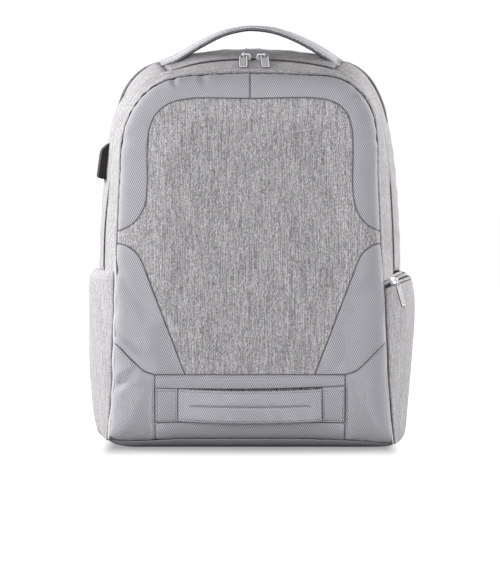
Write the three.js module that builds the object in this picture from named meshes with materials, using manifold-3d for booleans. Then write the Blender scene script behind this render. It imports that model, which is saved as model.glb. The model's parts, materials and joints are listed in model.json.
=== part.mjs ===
// A laptop backpack that stands on its base.
// Millimetres, +Z up, the front faces -Y and +X is to the right as seen from the front.
import * as THREE from "three";
import { mergeVertices } from "three/addons/utils/BufferGeometryUtils.js";
import Module from "manifold-3d";

const wasm = await Module();
wasm.setup();

// Driving dimensions
const FOOT = 10; // height of the seam between the walls and the base
const SHOULDER = 318; // height where the sides turn into the rounded top
const CORNER_FULLNESS = 0.6; // how square the rounded top corners are
const CLOTH = 3; // foam-backed cloth of the walls
const GAP = 0.4; // left between two sewn pieces
const FRONT = 148; // depth of the front seam, measured forwards from the back seam
const BACK = 0; // depth of the back seam
const FRONT_CROWN = 20; // how far the front panel swells out past its seam
const BACK_CROWN = 12; // how far the padded back swells out
const BACK_RIM = 2; // thickness of the padded back at its seam
const CROWN_POWER = 6; // flatness of the swelling
const MIDDLE_HEIGHT = 195; // height the front and the back swell from

// Depths where the gusset pieces meet, and the height where both zips end
const MAIN_ZIP = { depth: 108, half: 4 };
const LAPTOP_ZIP = { depth: 42, half: 4 };
const ZIP_CLOTH = 1.8;
const ZIP_END = 195;
const SIDE_TUCK = 9; // how far the walls behind the side pockets are pushed in

// Outline of the pack at five depths: half widths, then heights
const STATIONS = [
  { depth: 0, base: 154, waist: 158, shoulder: 150, shelf: 92, shelfTop: 411, top: 419 },
  { depth: 42, base: 154, waist: 170, shoulder: 159, shelf: 100, shelfTop: 421.5, top: 429.5 },
  { depth: 66, base: 154, waist: 169.5, shoulder: 158.5, shelf: 97, shelfTop: 424.5, top: 433.5 },
  { depth: 108, base: 154, waist: 160, shoulder: 151, shelf: 84, shelfTop: 414, top: 421 },
  { depth: 148, base: 154, waist: 146, shoulder: 139, shelf: 72, shelfTop: 401, top: 404 },
];
const COLUMNS = ["base", "waist", "shoulder", "shelf", "shelfTop", "top"];
const ARCH_STEPS = [8, 8, 4]; // steps along the side, the corner and the top
const ARCH_TOP = 20; // steps from a foot to the top of the arch

// Base panel: rings from the seam down to the flat underside
const BASE_RINGS = [
  { height: 9.6, inset: 0, radius: 8 },
  { height: 4.5, inset: 1, radius: 12 },
  { height: 1.2, inset: 4, radius: 18 },
  { height: 0, inset: 9, radius: 24 },
];

// Seams of the front face, right half, as points across and up
const SEAMS = {
  panel: [
    [0, 377], [68, 377], [88, 372], [101, 361], [108, 344], [110, 322],
    [110, 282], [113, 262], [121, 248], [131, 240], [160, 229],
  ],
  wedge: [[160, 219], [139, 221], [130, 217.5], [121.5, 211], [115, 200], [69.5, 81]],
  corner: [[160, 124], [146, 112.5], [125, 93.5], [114, 85], [102.3, 81]],
  lowerTop: [[0, 81], [102.3, 81]],
  lowerSide: [[102.3, 81], [102.3, 0]],
};
const TOP_SEAM = [[0, 377], [0, 500]]; // up the middle of the trim
const SEAM_WIDTH = 0.5;
const FRONT_PIECES = [
  { name: "centre_panel", x: 0, z: 250 },
  { name: "trim_left", x: -112, z: 345 },
  { name: "trim_right", x: 112, z: 345 },
  { name: "wedge_left", x: -118, z: 140 },
  { name: "wedge_right", x: 118, z: 140 },
  { name: "corner_left", x: -128, z: 48 },
  { name: "corner_right", x: 128, z: 48 },
  { name: "lower_panel", x: 0, z: 46 },
];

// Carry handle on the lower panel: edge is the share of the thickness left at its edges and ends
const CARRY = { half: 77, middle: 48.5, width: 35, thickness: 7, edge: 0.55, bow: 8, sag: 3, off: 1.8 };
const CARRY_TAB = { end: 101.5, width: 36, cloth: 2.2 };

// Grab handle over the top
const GRAB = { half: 106, width: 27, thickness: 5.5, edge: 1, rise: 32.5, roundness: 0.35, depth: 77 };
const GRAB_SEAM = 103; // half width where the handle is sewn in

// Side pockets: how far each one stands out from the wall, by height
const POCKET_CLOTH = 2.2;
const POCKET_DEPTHS = { front: 146.5, back: 3 };
const POCKET_FULLNESS = 0.7; // how soon the bulge reaches its most between the two seams
const POCKETS = {
  left: [
    { height: 8, bulge: 2.8 },
    { height: 9.5, bulge: 6.5 },
    { height: 12, bulge: 9.3 },
    { height: 18, bulge: 11.3 },
    { height: 26, bulge: 12.7 },
    { height: 44, bulge: 13.8 },
    { height: 81, bulge: 13.6 },
    { height: 123, bulge: 11.9 },
    { height: 160, bulge: 11 },
    { height: 176, bulge: 10.2 },
    { height: 184, bulge: 7.2 },
    { height: 189, bulge: 3 },
  ],
  right: [
    { height: 8, bulge: 2.8 },
    { height: 9.5, bulge: 7.5 },
    { height: 12, bulge: 10.5 },
    { height: 18, bulge: 13 },
    { height: 28, bulge: 14.4 },
    { height: 44, bulge: 14.9 },
    { height: 95, bulge: 14.8 },
    { height: 140, bulge: 15.2 },
    { height: 160, bulge: 14.8 },
    { height: 172, bulge: 13.2 },
    { height: 179, bulge: 11.5 },
  ],
};
const POCKET_ZIP = { low: 179.4, high: 192, cloth: 1.8, reach: 2 };
const POCKET_DROP = { from: 85, most: 7 }; // the right pocket's edge dips towards the front

// Zip sliders and their pulls: the slider's body is widest a little behind its nose
const SLIDER = { length: 11, width: 8, height: 2.4, bridge: 8.6, bar: 1.5, pivot: 5.8, corner: 1, sunk: 0.4 };
const SLIDER_OUTLINE = [
  { along: -1, wide: 0.6 },
  { along: -0.4, wide: 1 },
  { along: 1, wide: 0.75 },
];
const PULL = {
  length: 30, width: 9, neck: 4.8, neckEnd: 5, eye: 1.5, knuckle: 2.6, thickness: 2, corner: 1.8,
};
const PULL_CLEAR = 1.6; // from the middle of the pull's tip to the cloth it rests on
const PULL_REACH = 0.93; // share of the pull's length that its tip lies away in depth
const TOP_SLIDERS = [
  { name: "main_left", zip: MAIN_ZIP, across: -7.2, rest: 1 },
  { name: "main_right", zip: MAIN_ZIP, across: 15.2, rest: 1 },
  { name: "laptop_left", zip: LAPTOP_ZIP, across: -4.4, rest: -1 },
  { name: "laptop_right", zip: LAPTOP_ZIP, across: 9.8, rest: -1 },
];
const POCKET_SLIDER = { depth: 137, share: 0.3, tipHeight: 150, tipBulge: 15.1, tipClear: 2.4 };

// USB housing on the left gusset: a block with a sloping upper end
const USB = {
  height: 290, depth: 80, length: 41, thickness: 9, width: 22, lean: 1, corner: 2.5, bevel: 1.2, off: 0.9,
};
const USB_SLOPE = [
  { along: 0.66, out: 0.92 },
  { along: 0.78, out: 0.86 },
  { along: 0.86, out: 0.6 },
];

// Shoulder straps: height, distance behind the back seam and distance from the middle
const STRAP = { width: 58, thickness: 11, edge: 6 };
const STRAP_FLAT = 0.8; // share of a strap's width that has its full thickness
const STRAP_PATH = [
  { height: 404, behind: 12.2, across: 50 },
  { height: 402, behind: 36, across: 52 },
  { height: 372, behind: 58, across: 58 },
  { height: 305, behind: 66, across: 70 },
  { height: 235, behind: 60, across: 82 },
  { height: 172, behind: 46, across: 96 },
];
const WEBBING = { width: 25, thickness: 1.8 };
const WEBBING_PATH = [
  { height: 146, behind: 39.5, across: 101.7 },
  { height: 95, behind: 29, across: 114 },
  { height: 51.7, behind: 19.5, across: 124.8 },
];
const ADJUSTER = { width: 34, length: 26, thickness: 5, slot: 4, bar: 4 };
const ANCHOR = { width: 30, cloth: 3 };
const ANCHOR_PATH = [
  { height: 51, behind: 19.4, across: 125 },
  { height: 34, behind: 14.6, across: 129 },
  { height: 20, behind: 10.6, across: 132 },
];

// Colours and surfaces
const COLOURS = {
  melange: { color: 0x9e9c9f, roughness: 0.9 },
  weave: { color: 0x9a9a9f, roughness: 0.85 },
  gusset: { color: 0xa8a6a8, roughness: 0.9 },
  dark: { color: 0x4c4b50, roughness: 0.9 },
  zip: { color: 0x3c3b3e, roughness: 0.8 },
  metal: { color: 0x8f8e92, roughness: 0.4, metalness: 0.7 },
  rubber: { color: 0xafaeb2, roughness: 0.6 },
  plastic: { color: 0x1b1b1d, roughness: 0.5 },
};

// Placing: a point at a depth behind the front has y = -depth
const point = (x, depth, z) => new THREE.Vector3(x, -depth, z);
function spread(from, to, steps) {
  return Array.from({ length: steps + 1 }, (_, i) => from + ((to - from) * i) / steps);
}

const outlineTable = new THREE.CubicInterpolant(
  STATIONS.map((row) => row.depth),
  STATIONS.flatMap((row) => COLUMNS.map((column) => row[column])),
  COLUMNS.length,
);

function outlineAt(depth) {
  const values = outlineTable.evaluate(depth);
  return Object.fromEntries(COLUMNS.map((column, i) => [column, values[i]]));
}

// The three curves from a foot up to the middle of the top
function archCurves(depth) {
  const o = outlineAt(depth);
  const flat = (x, z) => new THREE.Vector2(x, z);
  const third = (SHOULDER - FOOT) / 3;
  const lean = (o.waist - o.shoulder) / third;
  const rise = CORNER_FULLNESS * (o.shelfTop - SHOULDER);
  const reach = CORNER_FULLNESS * (o.shoulder - o.shelf);
  const slope = (o.top - o.shelfTop) / (o.shelf / 2);
  const shoulder = flat(o.shoulder, SHOULDER);
  const shelf = flat(o.shelf, o.shelfTop);
  return [
    new THREE.CubicBezierCurve(
      flat(o.base, FOOT),
      flat(o.waist, FOOT + third),
      flat(o.waist, SHOULDER - third),
      shoulder,
    ),
    new THREE.CubicBezierCurve(
      shoulder,
      flat(o.shoulder - lean * rise, SHOULDER + rise),
      flat(o.shelf + reach, o.shelfTop - slope * reach),
      shelf,
    ),
    new THREE.QuadraticBezierCurve(shelf, flat(o.shelf / 2, o.top), flat(0, o.top)),
  ];
}

// Point of the outline at a step: 0 is the left foot, ARCH_TOP the top, twice that the right foot
function archFlat(depth, step, inset = 0) {
  const curves = archCurves(depth);
  const side = step > ARCH_TOP ? 1 : -1;
  let rest = Math.min(step, 2 * ARCH_TOP - step);
  let index = 0;
  while (index < 2 && rest > ARCH_STEPS[index]) {
    rest -= ARCH_STEPS[index];
    index += 1;
  }
  const t = rest / ARCH_STEPS[index];
  const at = curves[index].getPoint(t);
  const along = curves[index].getTangent(t);
  return { x: side * (at.x - along.y * inset), z: at.y + along.x * inset };
}

function archPoint(depth, step, inset = 0) {
  const flat = archFlat(depth, step, inset);
  return point(flat.x, depth, flat.z);
}

// Step of the outline that lies at a height on the side, or at a distance from the middle on the top
function stepWhere(depth, reached) {
  let low = 0;
  let high = ARCH_TOP;
  for (let i = 0; i < 40; i += 1) {
    const middle = (low + high) / 2;
    if (reached(archFlat(depth, middle))) {
      high = middle;
    } else {
      low = middle;
    }
  }
  return high;
}
const stepAtHeight = (depth, height) => stepWhere(depth, (at) => at.z >= height);
const stepAcross = (depth, half) => stepWhere(depth, (at) => -at.x <= half);

// A closed solid from loops of points: each loop is joined to the next, and both end loops are filled
function loft(loops) {
  const size = loops[0].length;
  const positions = loops.flat().flatMap((at) => [at.x, at.y, at.z]);
  const faces = [];
  for (let i = 0; i + 1 < loops.length; i += 1) {
    for (let k = 0; k < size; k += 1) {
      const here = i * size + k;
      const next = i * size + ((k + 1) % size);
      faces.push(here, next, next + size, here, next + size, here + size);
    }
  }
  const last = (loops.length - 1) * size;
  for (let k = 0; k + 1 < size / 2; k += 1) {
    const far = size - 1 - k;
    faces.push(k, far, k + 1, far, far - 1, k + 1);
    faces.push(last + k, last + k + 1, last + far, last + far, last + k + 1, last + far - 1);
  }
  const geometry = new THREE.BufferGeometry();
  geometry.setAttribute("position", new THREE.Float32BufferAttribute(positions, 3));
  geometry.setIndex(faces);
  return facingOut(geometry);
}

function facingOut(geometry) {
  const at = geometry.attributes.position;
  const index = geometry.index.array;
  const [a, b, c] = [new THREE.Vector3(), new THREE.Vector3(), new THREE.Vector3()];
  let volume = 0;
  for (let i = 0; i < index.length; i += 3) {
    a.fromBufferAttribute(at, index[i]);
    b.fromBufferAttribute(at, index[i + 1]);
    c.fromBufferAttribute(at, index[i + 2]);
    volume += a.dot(b.cross(c));
  }
  if (volume < 0) {
    geometry.setIndex(Array.from(index).reverse());
  }
  return geometry;
}

// Joining and cutting
function solid(geometry) {
  const bare = geometry.clone();
  bare.deleteAttribute("normal");
  bare.deleteAttribute("uv");
  const merged = mergeVertices(bare, 1e-4);
  return new wasm.Manifold(
    new wasm.Mesh({
      numProp: 3,
      vertProperties: new Float32Array(merged.attributes.position.array),
      triVerts: new Uint32Array(merged.index.array),
    }),
  );
}

function fromSolid(manifold) {
  const mesh = manifold.getMesh();
  const geometry = new THREE.BufferGeometry();
  geometry.setAttribute("position", new THREE.Float32BufferAttribute(mesh.vertProperties, 3));
  geometry.setIndex(Array.from(mesh.triVerts));
  return geometry;
}

const pack = new THREE.Group();
pack.name = "laptop_backpack";

function piece(name, geometry, colour, parent = pack) {
  const mesh = new THREE.Mesh(geometry, new THREE.MeshStandardMaterial(COLOURS[colour]));
  mesh.name = name;
  parent.add(mesh);
}

// Gusset bands that run along the outline between two depths
const NEAR_STEP = 0.05; // whole steps nearer than this to a band's end are left out
function band(fromDepth, toDepth, fromStep, toStep, cloth, depthSteps) {
  const first = Math.ceil(fromStep + NEAR_STEP);
  const last = Math.floor(toStep - NEAR_STEP);
  const steps = [fromStep, ...spread(first, last, last - first), toStep];
  const depths = spread(fromDepth, toDepth, depthSteps);
  return loft(
    steps.map((step) => [
      ...depths.map((depth) => archPoint(depth, step)),
      ...depths.map((depth) => archPoint(depth, step, cloth)).reverse(),
    ]),
  );
}

const mirrorStep = (step) => 2 * ARCH_TOP - step;
const mainFront = MAIN_ZIP.depth + MAIN_ZIP.half;
const mainBack = MAIN_ZIP.depth - MAIN_ZIP.half;
const laptopFront = LAPTOP_ZIP.depth + LAPTOP_ZIP.half;
const laptopBack = LAPTOP_ZIP.depth - LAPTOP_ZIP.half;
const zipStart = stepAtHeight(MAIN_ZIP.depth, ZIP_END);
const handleStep = stepAcross(GRAB.depth, GRAB_SEAM);
const stepGap = 0.02; // of a step, about the gap between two sewn pieces

piece("front_gusset", band(mainFront + GAP, FRONT - CLOTH - GAP, 0, mirrorStep(0), CLOTH, 3), "gusset");
piece("main_zip", band(mainBack, mainFront, zipStart, mirrorStep(zipStart), ZIP_CLOTH, 1), "zip");
piece("laptop_zip", band(laptopBack, laptopFront, zipStart, mirrorStep(zipStart), ZIP_CLOTH, 1), "zip");
piece("rear_gusset", band(BACK + GAP, laptopBack - GAP, 0, mirrorStep(0), CLOTH, 3), "gusset");
for (const [name, from, to] of [
  ["gusset_left", zipStart, handleStep - stepGap],
  ["gusset_top", handleStep + stepGap, mirrorStep(handleStep + stepGap)],
  ["gusset_right", mirrorStep(handleStep - stepGap), mirrorStep(zipStart)],
]) {
  piece(name, band(laptopFront + GAP, mainBack - GAP, from, to, CLOTH, 4), "gusset");
}

// Walls behind the side pockets, pushed in between the zips' ends and the base
function sidePanel(left) {
  const steps = [0, 1, 2, 3, 4, zipStart - stepGap * 2];
  const depths = spread(laptopBack, mainFront, 4);
  const side = left ? 0 : 2 * ARCH_TOP;
  return loft(
    steps.map((step) => {
      const tuck = CLOTH / 2 + SIDE_TUCK * Math.min(1, step);
      const at = (depth, inset) => archPoint(depth, Math.abs(side - step), inset);
      return [
        ...depths.map((depth) => at(depth, tuck)),
        ...depths.map((depth) => at(depth, tuck + CLOTH)).reverse(),
      ];
    }),
  );
}
piece("side_panel_left", sidePanel(true), "gusset");
piece("side_panel_right", sidePanel(false), "gusset");

// Front face: one swollen sheet, cut along its seams
function closedOutline(depth) {
  const { base } = outlineAt(depth);
  const bottom = spread(base, -base, 8).slice(1, -1).map((x) => ({ x, z: FOOT }));
  return [...spread(0, 2 * ARCH_TOP, 2 * ARCH_TOP).map((step) => archFlat(depth, step)), ...bottom];
}
const frontLoop = closedOutline(FRONT);
const crown = (share) => Math.sqrt(1 - share ** CROWN_POWER);

function swollen(loop, share, depth) {
  return loop.map((at) => point(at.x * share, depth, MIDDLE_HEIGHT + (at.z - MIDDLE_HEIGHT) * share));
}

// How far out towards the front seam a point of the front face lies, from 0 to 1
function shareAt(x, z) {
  const angle = Math.atan2(z - MIDDLE_HEIGHT, x);
  const angles = frontLoop.map((at) => Math.atan2(at.z - MIDDLE_HEIGHT, at.x));
  for (let i = 0; i < frontLoop.length; i += 1) {
    const a = frontLoop[i];
    const b = frontLoop[(i + 1) % frontLoop.length];
    const turn = THREE.MathUtils.euclideanModulo(angles[i] - angle, 2 * Math.PI);
    const next = THREE.MathUtils.euclideanModulo(angle - angles[(i + 1) % frontLoop.length], 2 * Math.PI);
    if (turn < 1 && next < 1) {
      const cross = (p, q) => p.x * (q.z - MIDDLE_HEIGHT) - q.x * (p.z - MIDDLE_HEIGHT);
      const edge = cross(a, b);
      const here = { x, z };
      return (cross(a, here) + cross(here, b)) / edge;
    }
  }
  return 0;
}
const frontDepth = (x, z) => FRONT + FRONT_CROWN * crown(Math.min(1, shareAt(x, z)));

const FRONT_SHARES = [0.04, 0.35, 0.6, 0.75, 0.86, 0.93, 0.975, 1];
const frontSheet = (behind) =>
  FRONT_SHARES.map((share) => swollen(frontLoop, share, FRONT - behind + FRONT_CROWN * crown(share)));
const frontShell = loft([...frontSheet(0), ...frontSheet(CLOTH).reverse()]);

// A thin upright blade that follows a seam right through the front face
function seamBlade(line, side) {
  const at = line.map(([x, z]) => new THREE.Vector2(x * side, z));
  const edge = (i, sign) => {
    const along = at[Math.min(i + 1, at.length - 1)].clone().sub(at[Math.max(i - 1, 0)]).normalize();
    return new THREE.Vector2(-along.y, along.x).multiplyScalar((sign * SEAM_WIDTH) / 2).add(at[i]);
  };
  const outline = [...at.map((_, i) => edge(i, 1)), ...at.map((_, i) => edge(i, -1)).reverse()];
  const through = { depth: 2 * FRONT, bevelEnabled: false };
  return solid(new THREE.ExtrudeGeometry(new THREE.Shape(outline), through).rotateX(Math.PI / 2));
}

// More points on the one seam that is curved all along
function rounded(line) {
  const corners = line.map(([x, z]) => new THREE.Vector3(x, z, 0));
  const curve = new THREE.CatmullRomCurve3(corners, false, "centripetal");
  return curve.getPoints(2 * (line.length - 1)).map((at) => [at.x, at.y]);
}
const seamLines = { ...SEAMS, panel: rounded(SEAMS.panel) };

let frontSolid = solid(frontShell).subtract(seamBlade(TOP_SEAM, 1));
for (const line of Object.values(seamLines)) {
  frontSolid = frontSolid.subtract(seamBlade(line, -1)).subtract(seamBlade(line, 1));
}

for (const part of frontSolid.decompose()) {
  const box = part.boundingBox();
  const middle = { x: (box.min[0] + box.max[0]) / 2, z: (box.min[2] + box.max[2]) / 2 };
  const away = (label) => Math.hypot(label.x - middle.x, label.z - middle.z);
  const label = FRONT_PIECES.reduce((best, next) => (away(next) < away(best) ? next : best));
  piece(label.name, fromSolid(part), label.name === "centre_panel" ? "melange" : "weave");
}

// Base panel: a shallow tray with a flat underside
function baseLoop({ height, inset, radius }, cloth) {
  const half = outlineAt(FRONT).base - inset - cloth;
  const front = FRONT - inset - cloth;
  const back = BACK + inset + cloth;
  const round = Math.max(radius - cloth, 2);
  const corners = [
    { x: half - round, depth: front - round, turn: 0 },
    { x: -half + round, depth: front - round, turn: 1 },
    { x: -half + round, depth: back + round, turn: 2 },
    { x: half - round, depth: back + round, turn: 3 },
  ];
  return corners.flatMap(({ x, depth, turn }) =>
    spread(0, 1, 5).map((share) => {
      const angle = ((turn + share) * Math.PI) / 2;
      const up = Math.min(height + cloth, BASE_RINGS[0].height);
      return point(x + round * Math.cos(angle), depth + round * Math.sin(angle), up);
    }),
  );
}
const baseSheet = (cloth) => BASE_RINGS.map((ring) => baseLoop(ring, cloth));
piece("base_panel", loft([...baseSheet(0).reverse(), ...baseSheet(CLOTH)]), "dark");

// Padded back
const backLoop = closedOutline(BACK);
const BACK_SHARES = [0.05, 0.5, 0.75, 0.88, 0.96, 1];
piece(
  "back_panel",
  loft([
    ...BACK_SHARES.map((share) => swollen(backLoop, share, BACK - BACK_RIM - BACK_CROWN * crown(share))),
    swollen(backLoop, 1, BACK),
    swollen(backLoop, BACK_SHARES[0], BACK),
  ]),
  "dark",
);

// Carry handle: a padded bar between two flat tabs, bowed out so that fingers go behind it
const bowAt = (x) => 1 - (x / CARRY.half) ** 2;
const eased = (round) => CARRY.edge + (1 - CARRY.edge) * Math.sqrt(round);
function carryLoop(x) {
  const height = CARRY.middle - CARRY.sag * bowAt(x);
  const pad = CARRY.thickness * eased(bowAt(x));
  const rear = frontDepth(x, CARRY.middle) + CARRY.off + CARRY.bow * bowAt(x);
  const rows = spread(-1, 1, 4);
  const at = (row, out) => point(x, rear + out, height + (row * CARRY.width) / 2);
  return [
    ...rows.map((row) => at(row, pad * eased(1 - row * row))),
    ...rows.map((row) => at(row, 0)).reverse(),
  ];
}
piece("carry_handle", loft(spread(-CARRY.half, CARRY.half, 14).map(carryLoop)), "weave");

function carryTab(side) {
  const rows = spread(-1, 1, 4);
  return loft(
    spread(CARRY.half + GAP, CARRY_TAB.end, 3).map((x) => {
      const at = (row, out) => {
        const height = CARRY.middle + (row * CARRY_TAB.width) / 2;
        return point(x * side, frontDepth(x, height) + out, height);
      };
      return [
        ...rows.map((row) => at(row, GAP + CARRY_TAB.cloth)),
        ...rows.map((row) => at(row, GAP)).reverse(),
      ];
    }),
  );
}
piece("handle_tab_left", carryTab(-1), "weave");
piece("handle_tab_right", carryTab(1), "weave");

// Grab handle: a strap that rises from the gusset's cross seams
const gussetAt = (depth) => archFlat(depth, stepAcross(depth, GRAB.half)).z;
const grabFoot = gussetAt(GRAB.depth) + 1.5 * GAP + GRAB.thickness / 2;
const grabFall = gussetAt(GRAB.depth - GRAB.width / 2) - gussetAt(GRAB.depth + GRAB.width / 2);
const grabTilt = grabFall / GRAB.width;
const tent = (share) => Math.hypot(share, GRAB.roundness) - GRAB.roundness;
const grabAt = (x) => new THREE.Vector2(x, grabFoot + GRAB.rise * (1 - tent(x / GRAB.half) / tent(1)));
function grabLoop(x) {
  const at = grabAt(x);
  const along = grabAt(x + 0.5).sub(grabAt(x - 0.5)).normalize();
  const tilt = grabTilt * (x / GRAB.half) ** 2;
  const corner = (out, forward) =>
    point(at.x - along.y * out, GRAB.depth + forward, at.y + along.x * out - tilt * forward);
  const face = GRAB.thickness / 2;
  const side = GRAB.width / 2;
  const rim = face - GRAB.edge;
  const flat = side - GRAB.edge;
  return [
    corner(face, -flat), corner(face, 0), corner(face, flat), corner(rim, side),
    corner(-rim, side), corner(-face, flat), corner(-face, 0), corner(-face, -flat),
    corner(-rim, -side), corner(rim, -side),
  ];
}
piece("grab_handle", loft(spread(-GRAB.half, GRAB.half, 26).map(grabLoop)), "weave");

// Side pockets: each wall stands out from the side and is sewn along both seams
const pocketArc = (depth) => {
  const share = (depth - POCKET_DEPTHS.back) / (POCKET_DEPTHS.front - POCKET_DEPTHS.back);
  return Math.sin(Math.PI * THREE.MathUtils.clamp(share, 0, 1)) ** POCKET_FULLNESS;
};
const wallAt = (depth, height) => -archFlat(depth, stepAtHeight(depth, height)).x;
const pocketX = (depth, { height, bulge }) => wallAt(depth, height) + GAP + bulge * pocketArc(depth);
const pocketDepths = spread(POCKET_DEPTHS.front, POCKET_DEPTHS.back, 12);
const pocketDrop = (depth) => {
  const share = Math.max(0, depth - POCKET_DROP.from) / (POCKET_DEPTHS.front - POCKET_DROP.from);
  return POCKET_DROP.most * share * share;
};

function pocket(side) {
  const rows = POCKETS[side < 0 ? "left" : "right"];
  const top = rows[rows.length - 1].height;
  const at = (depth, row, out) => {
    const drop = side < 0 ? 0 : (pocketDrop(depth) * row.height) / top;
    return point(side * (pocketX(depth, row) + out), depth, row.height - drop);
  };
  return loft(
    pocketDepths.map((depth) => [
      ...rows.map((row) => at(depth, row, POCKET_CLOTH)),
      ...rows.map((row) => at(depth, row, 0)).reverse(),
    ]),
  );
}
piece("pocket_left", pocket(-1), "gusset");
piece("pocket_right", pocket(1), "gusset");

// Zip along the top of the right pocket, from the pocket's edge up to the wall
const pocketEdge = POCKETS.right[POCKETS.right.length - 1];
function pocketZipAt(depth, share, out) {
  const outer = pocketX(depth, pocketEdge) + POCKET_ZIP.reach;
  const inner = wallAt(depth, POCKET_ZIP.high) + 2 * GAP;
  const height = POCKET_ZIP.low + (POCKET_ZIP.high - POCKET_ZIP.low) * share - pocketDrop(depth);
  return point(outer + (inner - outer) * share, depth, height + out);
}
piece(
  "pocket_zip",
  loft(
    pocketDepths.map((depth) => [
      ...spread(0, 1, 2).map((share) => pocketZipAt(depth, share, POCKET_ZIP.cloth)),
      ...spread(0, 1, 2).map((share) => pocketZipAt(depth, share, 0)).reverse(),
    ]),
  ),
  "zip",
);

// Zip slider: a body with a bridge over it, its foot at the origin and the zip along X
function sliderGeometry() {
  const corner = ({ along, wide }, side) =>
    new THREE.Vector2((along * SLIDER.length) / 2, (side * wide * SLIDER.width) / 2);
  const body = new THREE.Shape([
    ...SLIDER_OUTLINE.map((row) => corner(row, -1)),
    ...SLIDER_OUTLINE.map((row) => corner(row, 1)).reverse(),
  ]);
  const base = new THREE.ExtrudeGeometry(body, { depth: SLIDER.height, bevelEnabled: false });
  const span = SLIDER.bridge / 2;
  const low = SLIDER.height - SLIDER.sunk;
  const high = SLIDER.pivot + SLIDER.bar / 2;
  const bridge = new THREE.Shape();
  bridge.moveTo(-span, low);
  bridge.lineTo(-span, high - SLIDER.corner);
  bridge.lineTo(-span + SLIDER.corner, high);
  bridge.lineTo(span - SLIDER.corner, high);
  bridge.lineTo(span, high - SLIDER.corner);
  bridge.lineTo(span, low);
  bridge.lineTo(span - SLIDER.bar, low);
  bridge.lineTo(span - SLIDER.bar, high - SLIDER.bar);
  bridge.lineTo(SLIDER.bar - span, high - SLIDER.bar);
  bridge.lineTo(SLIDER.bar - span, low);
  const arch = new THREE.ExtrudeGeometry(bridge, { depth: SLIDER.bar, bevelEnabled: false });
  arch.translate(0, 0, -SLIDER.bar / 2).rotateX(Math.PI / 2);
  return fromSolid(solid(base).add(solid(arch)));
}

// Zip pull: a flat tab reaching along +Y from a knuckle round the X axis
function pullGeometry() {
  const tab = new THREE.Shape();
  const wide = PULL.width / 2;
  const neck = PULL.neck / 2;
  const end = PULL.length;
  const start = (PULL.eye + PULL.knuckle) / 2;
  tab.moveTo(-neck, start);
  tab.lineTo(neck, start);
  tab.lineTo(neck, PULL.neckEnd);
  tab.lineTo(wide, PULL.neckEnd + PULL.corner);
  tab.lineTo(wide, end - PULL.corner);
  tab.quadraticCurveTo(wide, end, wide - PULL.corner, end);
  tab.lineTo(PULL.corner - wide, end);
  tab.quadraticCurveTo(-wide, end, -wide, end - PULL.corner);
  tab.lineTo(-wide, PULL.neckEnd + PULL.corner);
  tab.lineTo(-neck, PULL.neckEnd);
  const flat = { depth: PULL.thickness, bevelEnabled: false, curveSegments: 5 };
  const plate = new THREE.ExtrudeGeometry(tab, flat);
  plate.translate(0, 0, -PULL.thickness / 2);
  const ring = new THREE.Shape().absarc(0, 0, PULL.knuckle, 0, 2 * Math.PI, false);
  ring.holes.push(new THREE.Path().absarc(0, 0, PULL.eye, 0, 2 * Math.PI, true));
  const barrel = new THREE.ExtrudeGeometry(ring, { depth: PULL.neck, bevelEnabled: false, curveSegments: 8 });
  barrel.translate(0, 0, -PULL.neck / 2).rotateY(Math.PI / 2);
  return fromSolid(solid(plate).add(solid(barrel)));
}

// A group whose X, Y and Z follow the given directions
function placed(origin, along, outwards) {
  const x = along.clone().normalize();
  const y = outwards.clone().cross(x).normalize();
  const z = x.clone().cross(y);
  const group = new THREE.Group();
  group.applyMatrix4(new THREE.Matrix4().makeBasis(x, y, z).setPosition(origin));
  pack.add(group);
  return group;
}

// A slider on the zip and a pull that hangs from its bridge towards a tip
function sliderAndPull(name, foot, along, outwards, tip) {
  piece(`slider_${name}`, sliderGeometry(), "metal", placed(foot, along, outwards));
  const pivot = foot.clone().addScaledVector(outwards, SLIDER.pivot);
  const reach = tip.clone().sub(pivot);
  const flatSide = along.clone().cross(reach).normalize();
  const eyelet = placed(pivot, along, flatSide);
  eyelet.name = `pivot_${name}`;
  piece(`pull_${name}`, pullGeometry(), "rubber", eyelet);
}

for (const { name, zip, across, rest } of TOP_SLIDERS) {
  const step = stepAcross(zip.depth, Math.abs(across));
  const here = (depth) => archPoint(depth, across < 0 ? step : mirrorStep(step));
  const slope = here(zip.depth - 1).sub(here(zip.depth + 1)).normalize();
  const along = new THREE.Vector3(rest, 0, 0);
  const outwards = new THREE.Vector3(1, 0, 0).cross(slope).normalize();
  const foot = here(zip.depth).addScaledVector(outwards, GAP);
  const tip = here(zip.depth + rest * PULL.length * PULL_REACH).addScaledVector(outwards, PULL_CLEAR + GAP);
  foot.x = across;
  tip.x = across;
  sliderAndPull(name, foot, along, outwards, tip);
}

// The pocket's slider sits near the front end of its zip, and its pull hangs down the pocket
const onPocketZip = (depth, share) => pocketZipAt(depth, share, POCKET_ZIP.cloth);
const pocketFoot = onPocketZip(POCKET_SLIDER.depth, POCKET_SLIDER.share);
const pocketNext = onPocketZip(POCKET_SLIDER.depth - SLIDER.length / 4, POCKET_SLIDER.share);
const pocketAlong = pocketNext.sub(pocketFoot).normalize();
const pocketSlope = onPocketZip(POCKET_SLIDER.depth, 1).sub(onPocketZip(POCKET_SLIDER.depth, 0));
const pocketOut = pocketAlong.clone().cross(pocketSlope).normalize();
if (pocketOut.x < 0) {
  pocketOut.negate();
}
const tipRow = { height: POCKET_SLIDER.tipHeight, bulge: POCKET_SLIDER.tipBulge };
const tipX = pocketX(POCKET_SLIDER.depth, tipRow) + POCKET_CLOTH + POCKET_SLIDER.tipClear;
const pocketTip = point(tipX, POCKET_SLIDER.depth, POCKET_SLIDER.tipHeight);
const pocketHang = pocketTip.clone().sub(pocketFoot);
pocketHang.addScaledVector(pocketAlong, -pocketHang.dot(pocketAlong));
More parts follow.
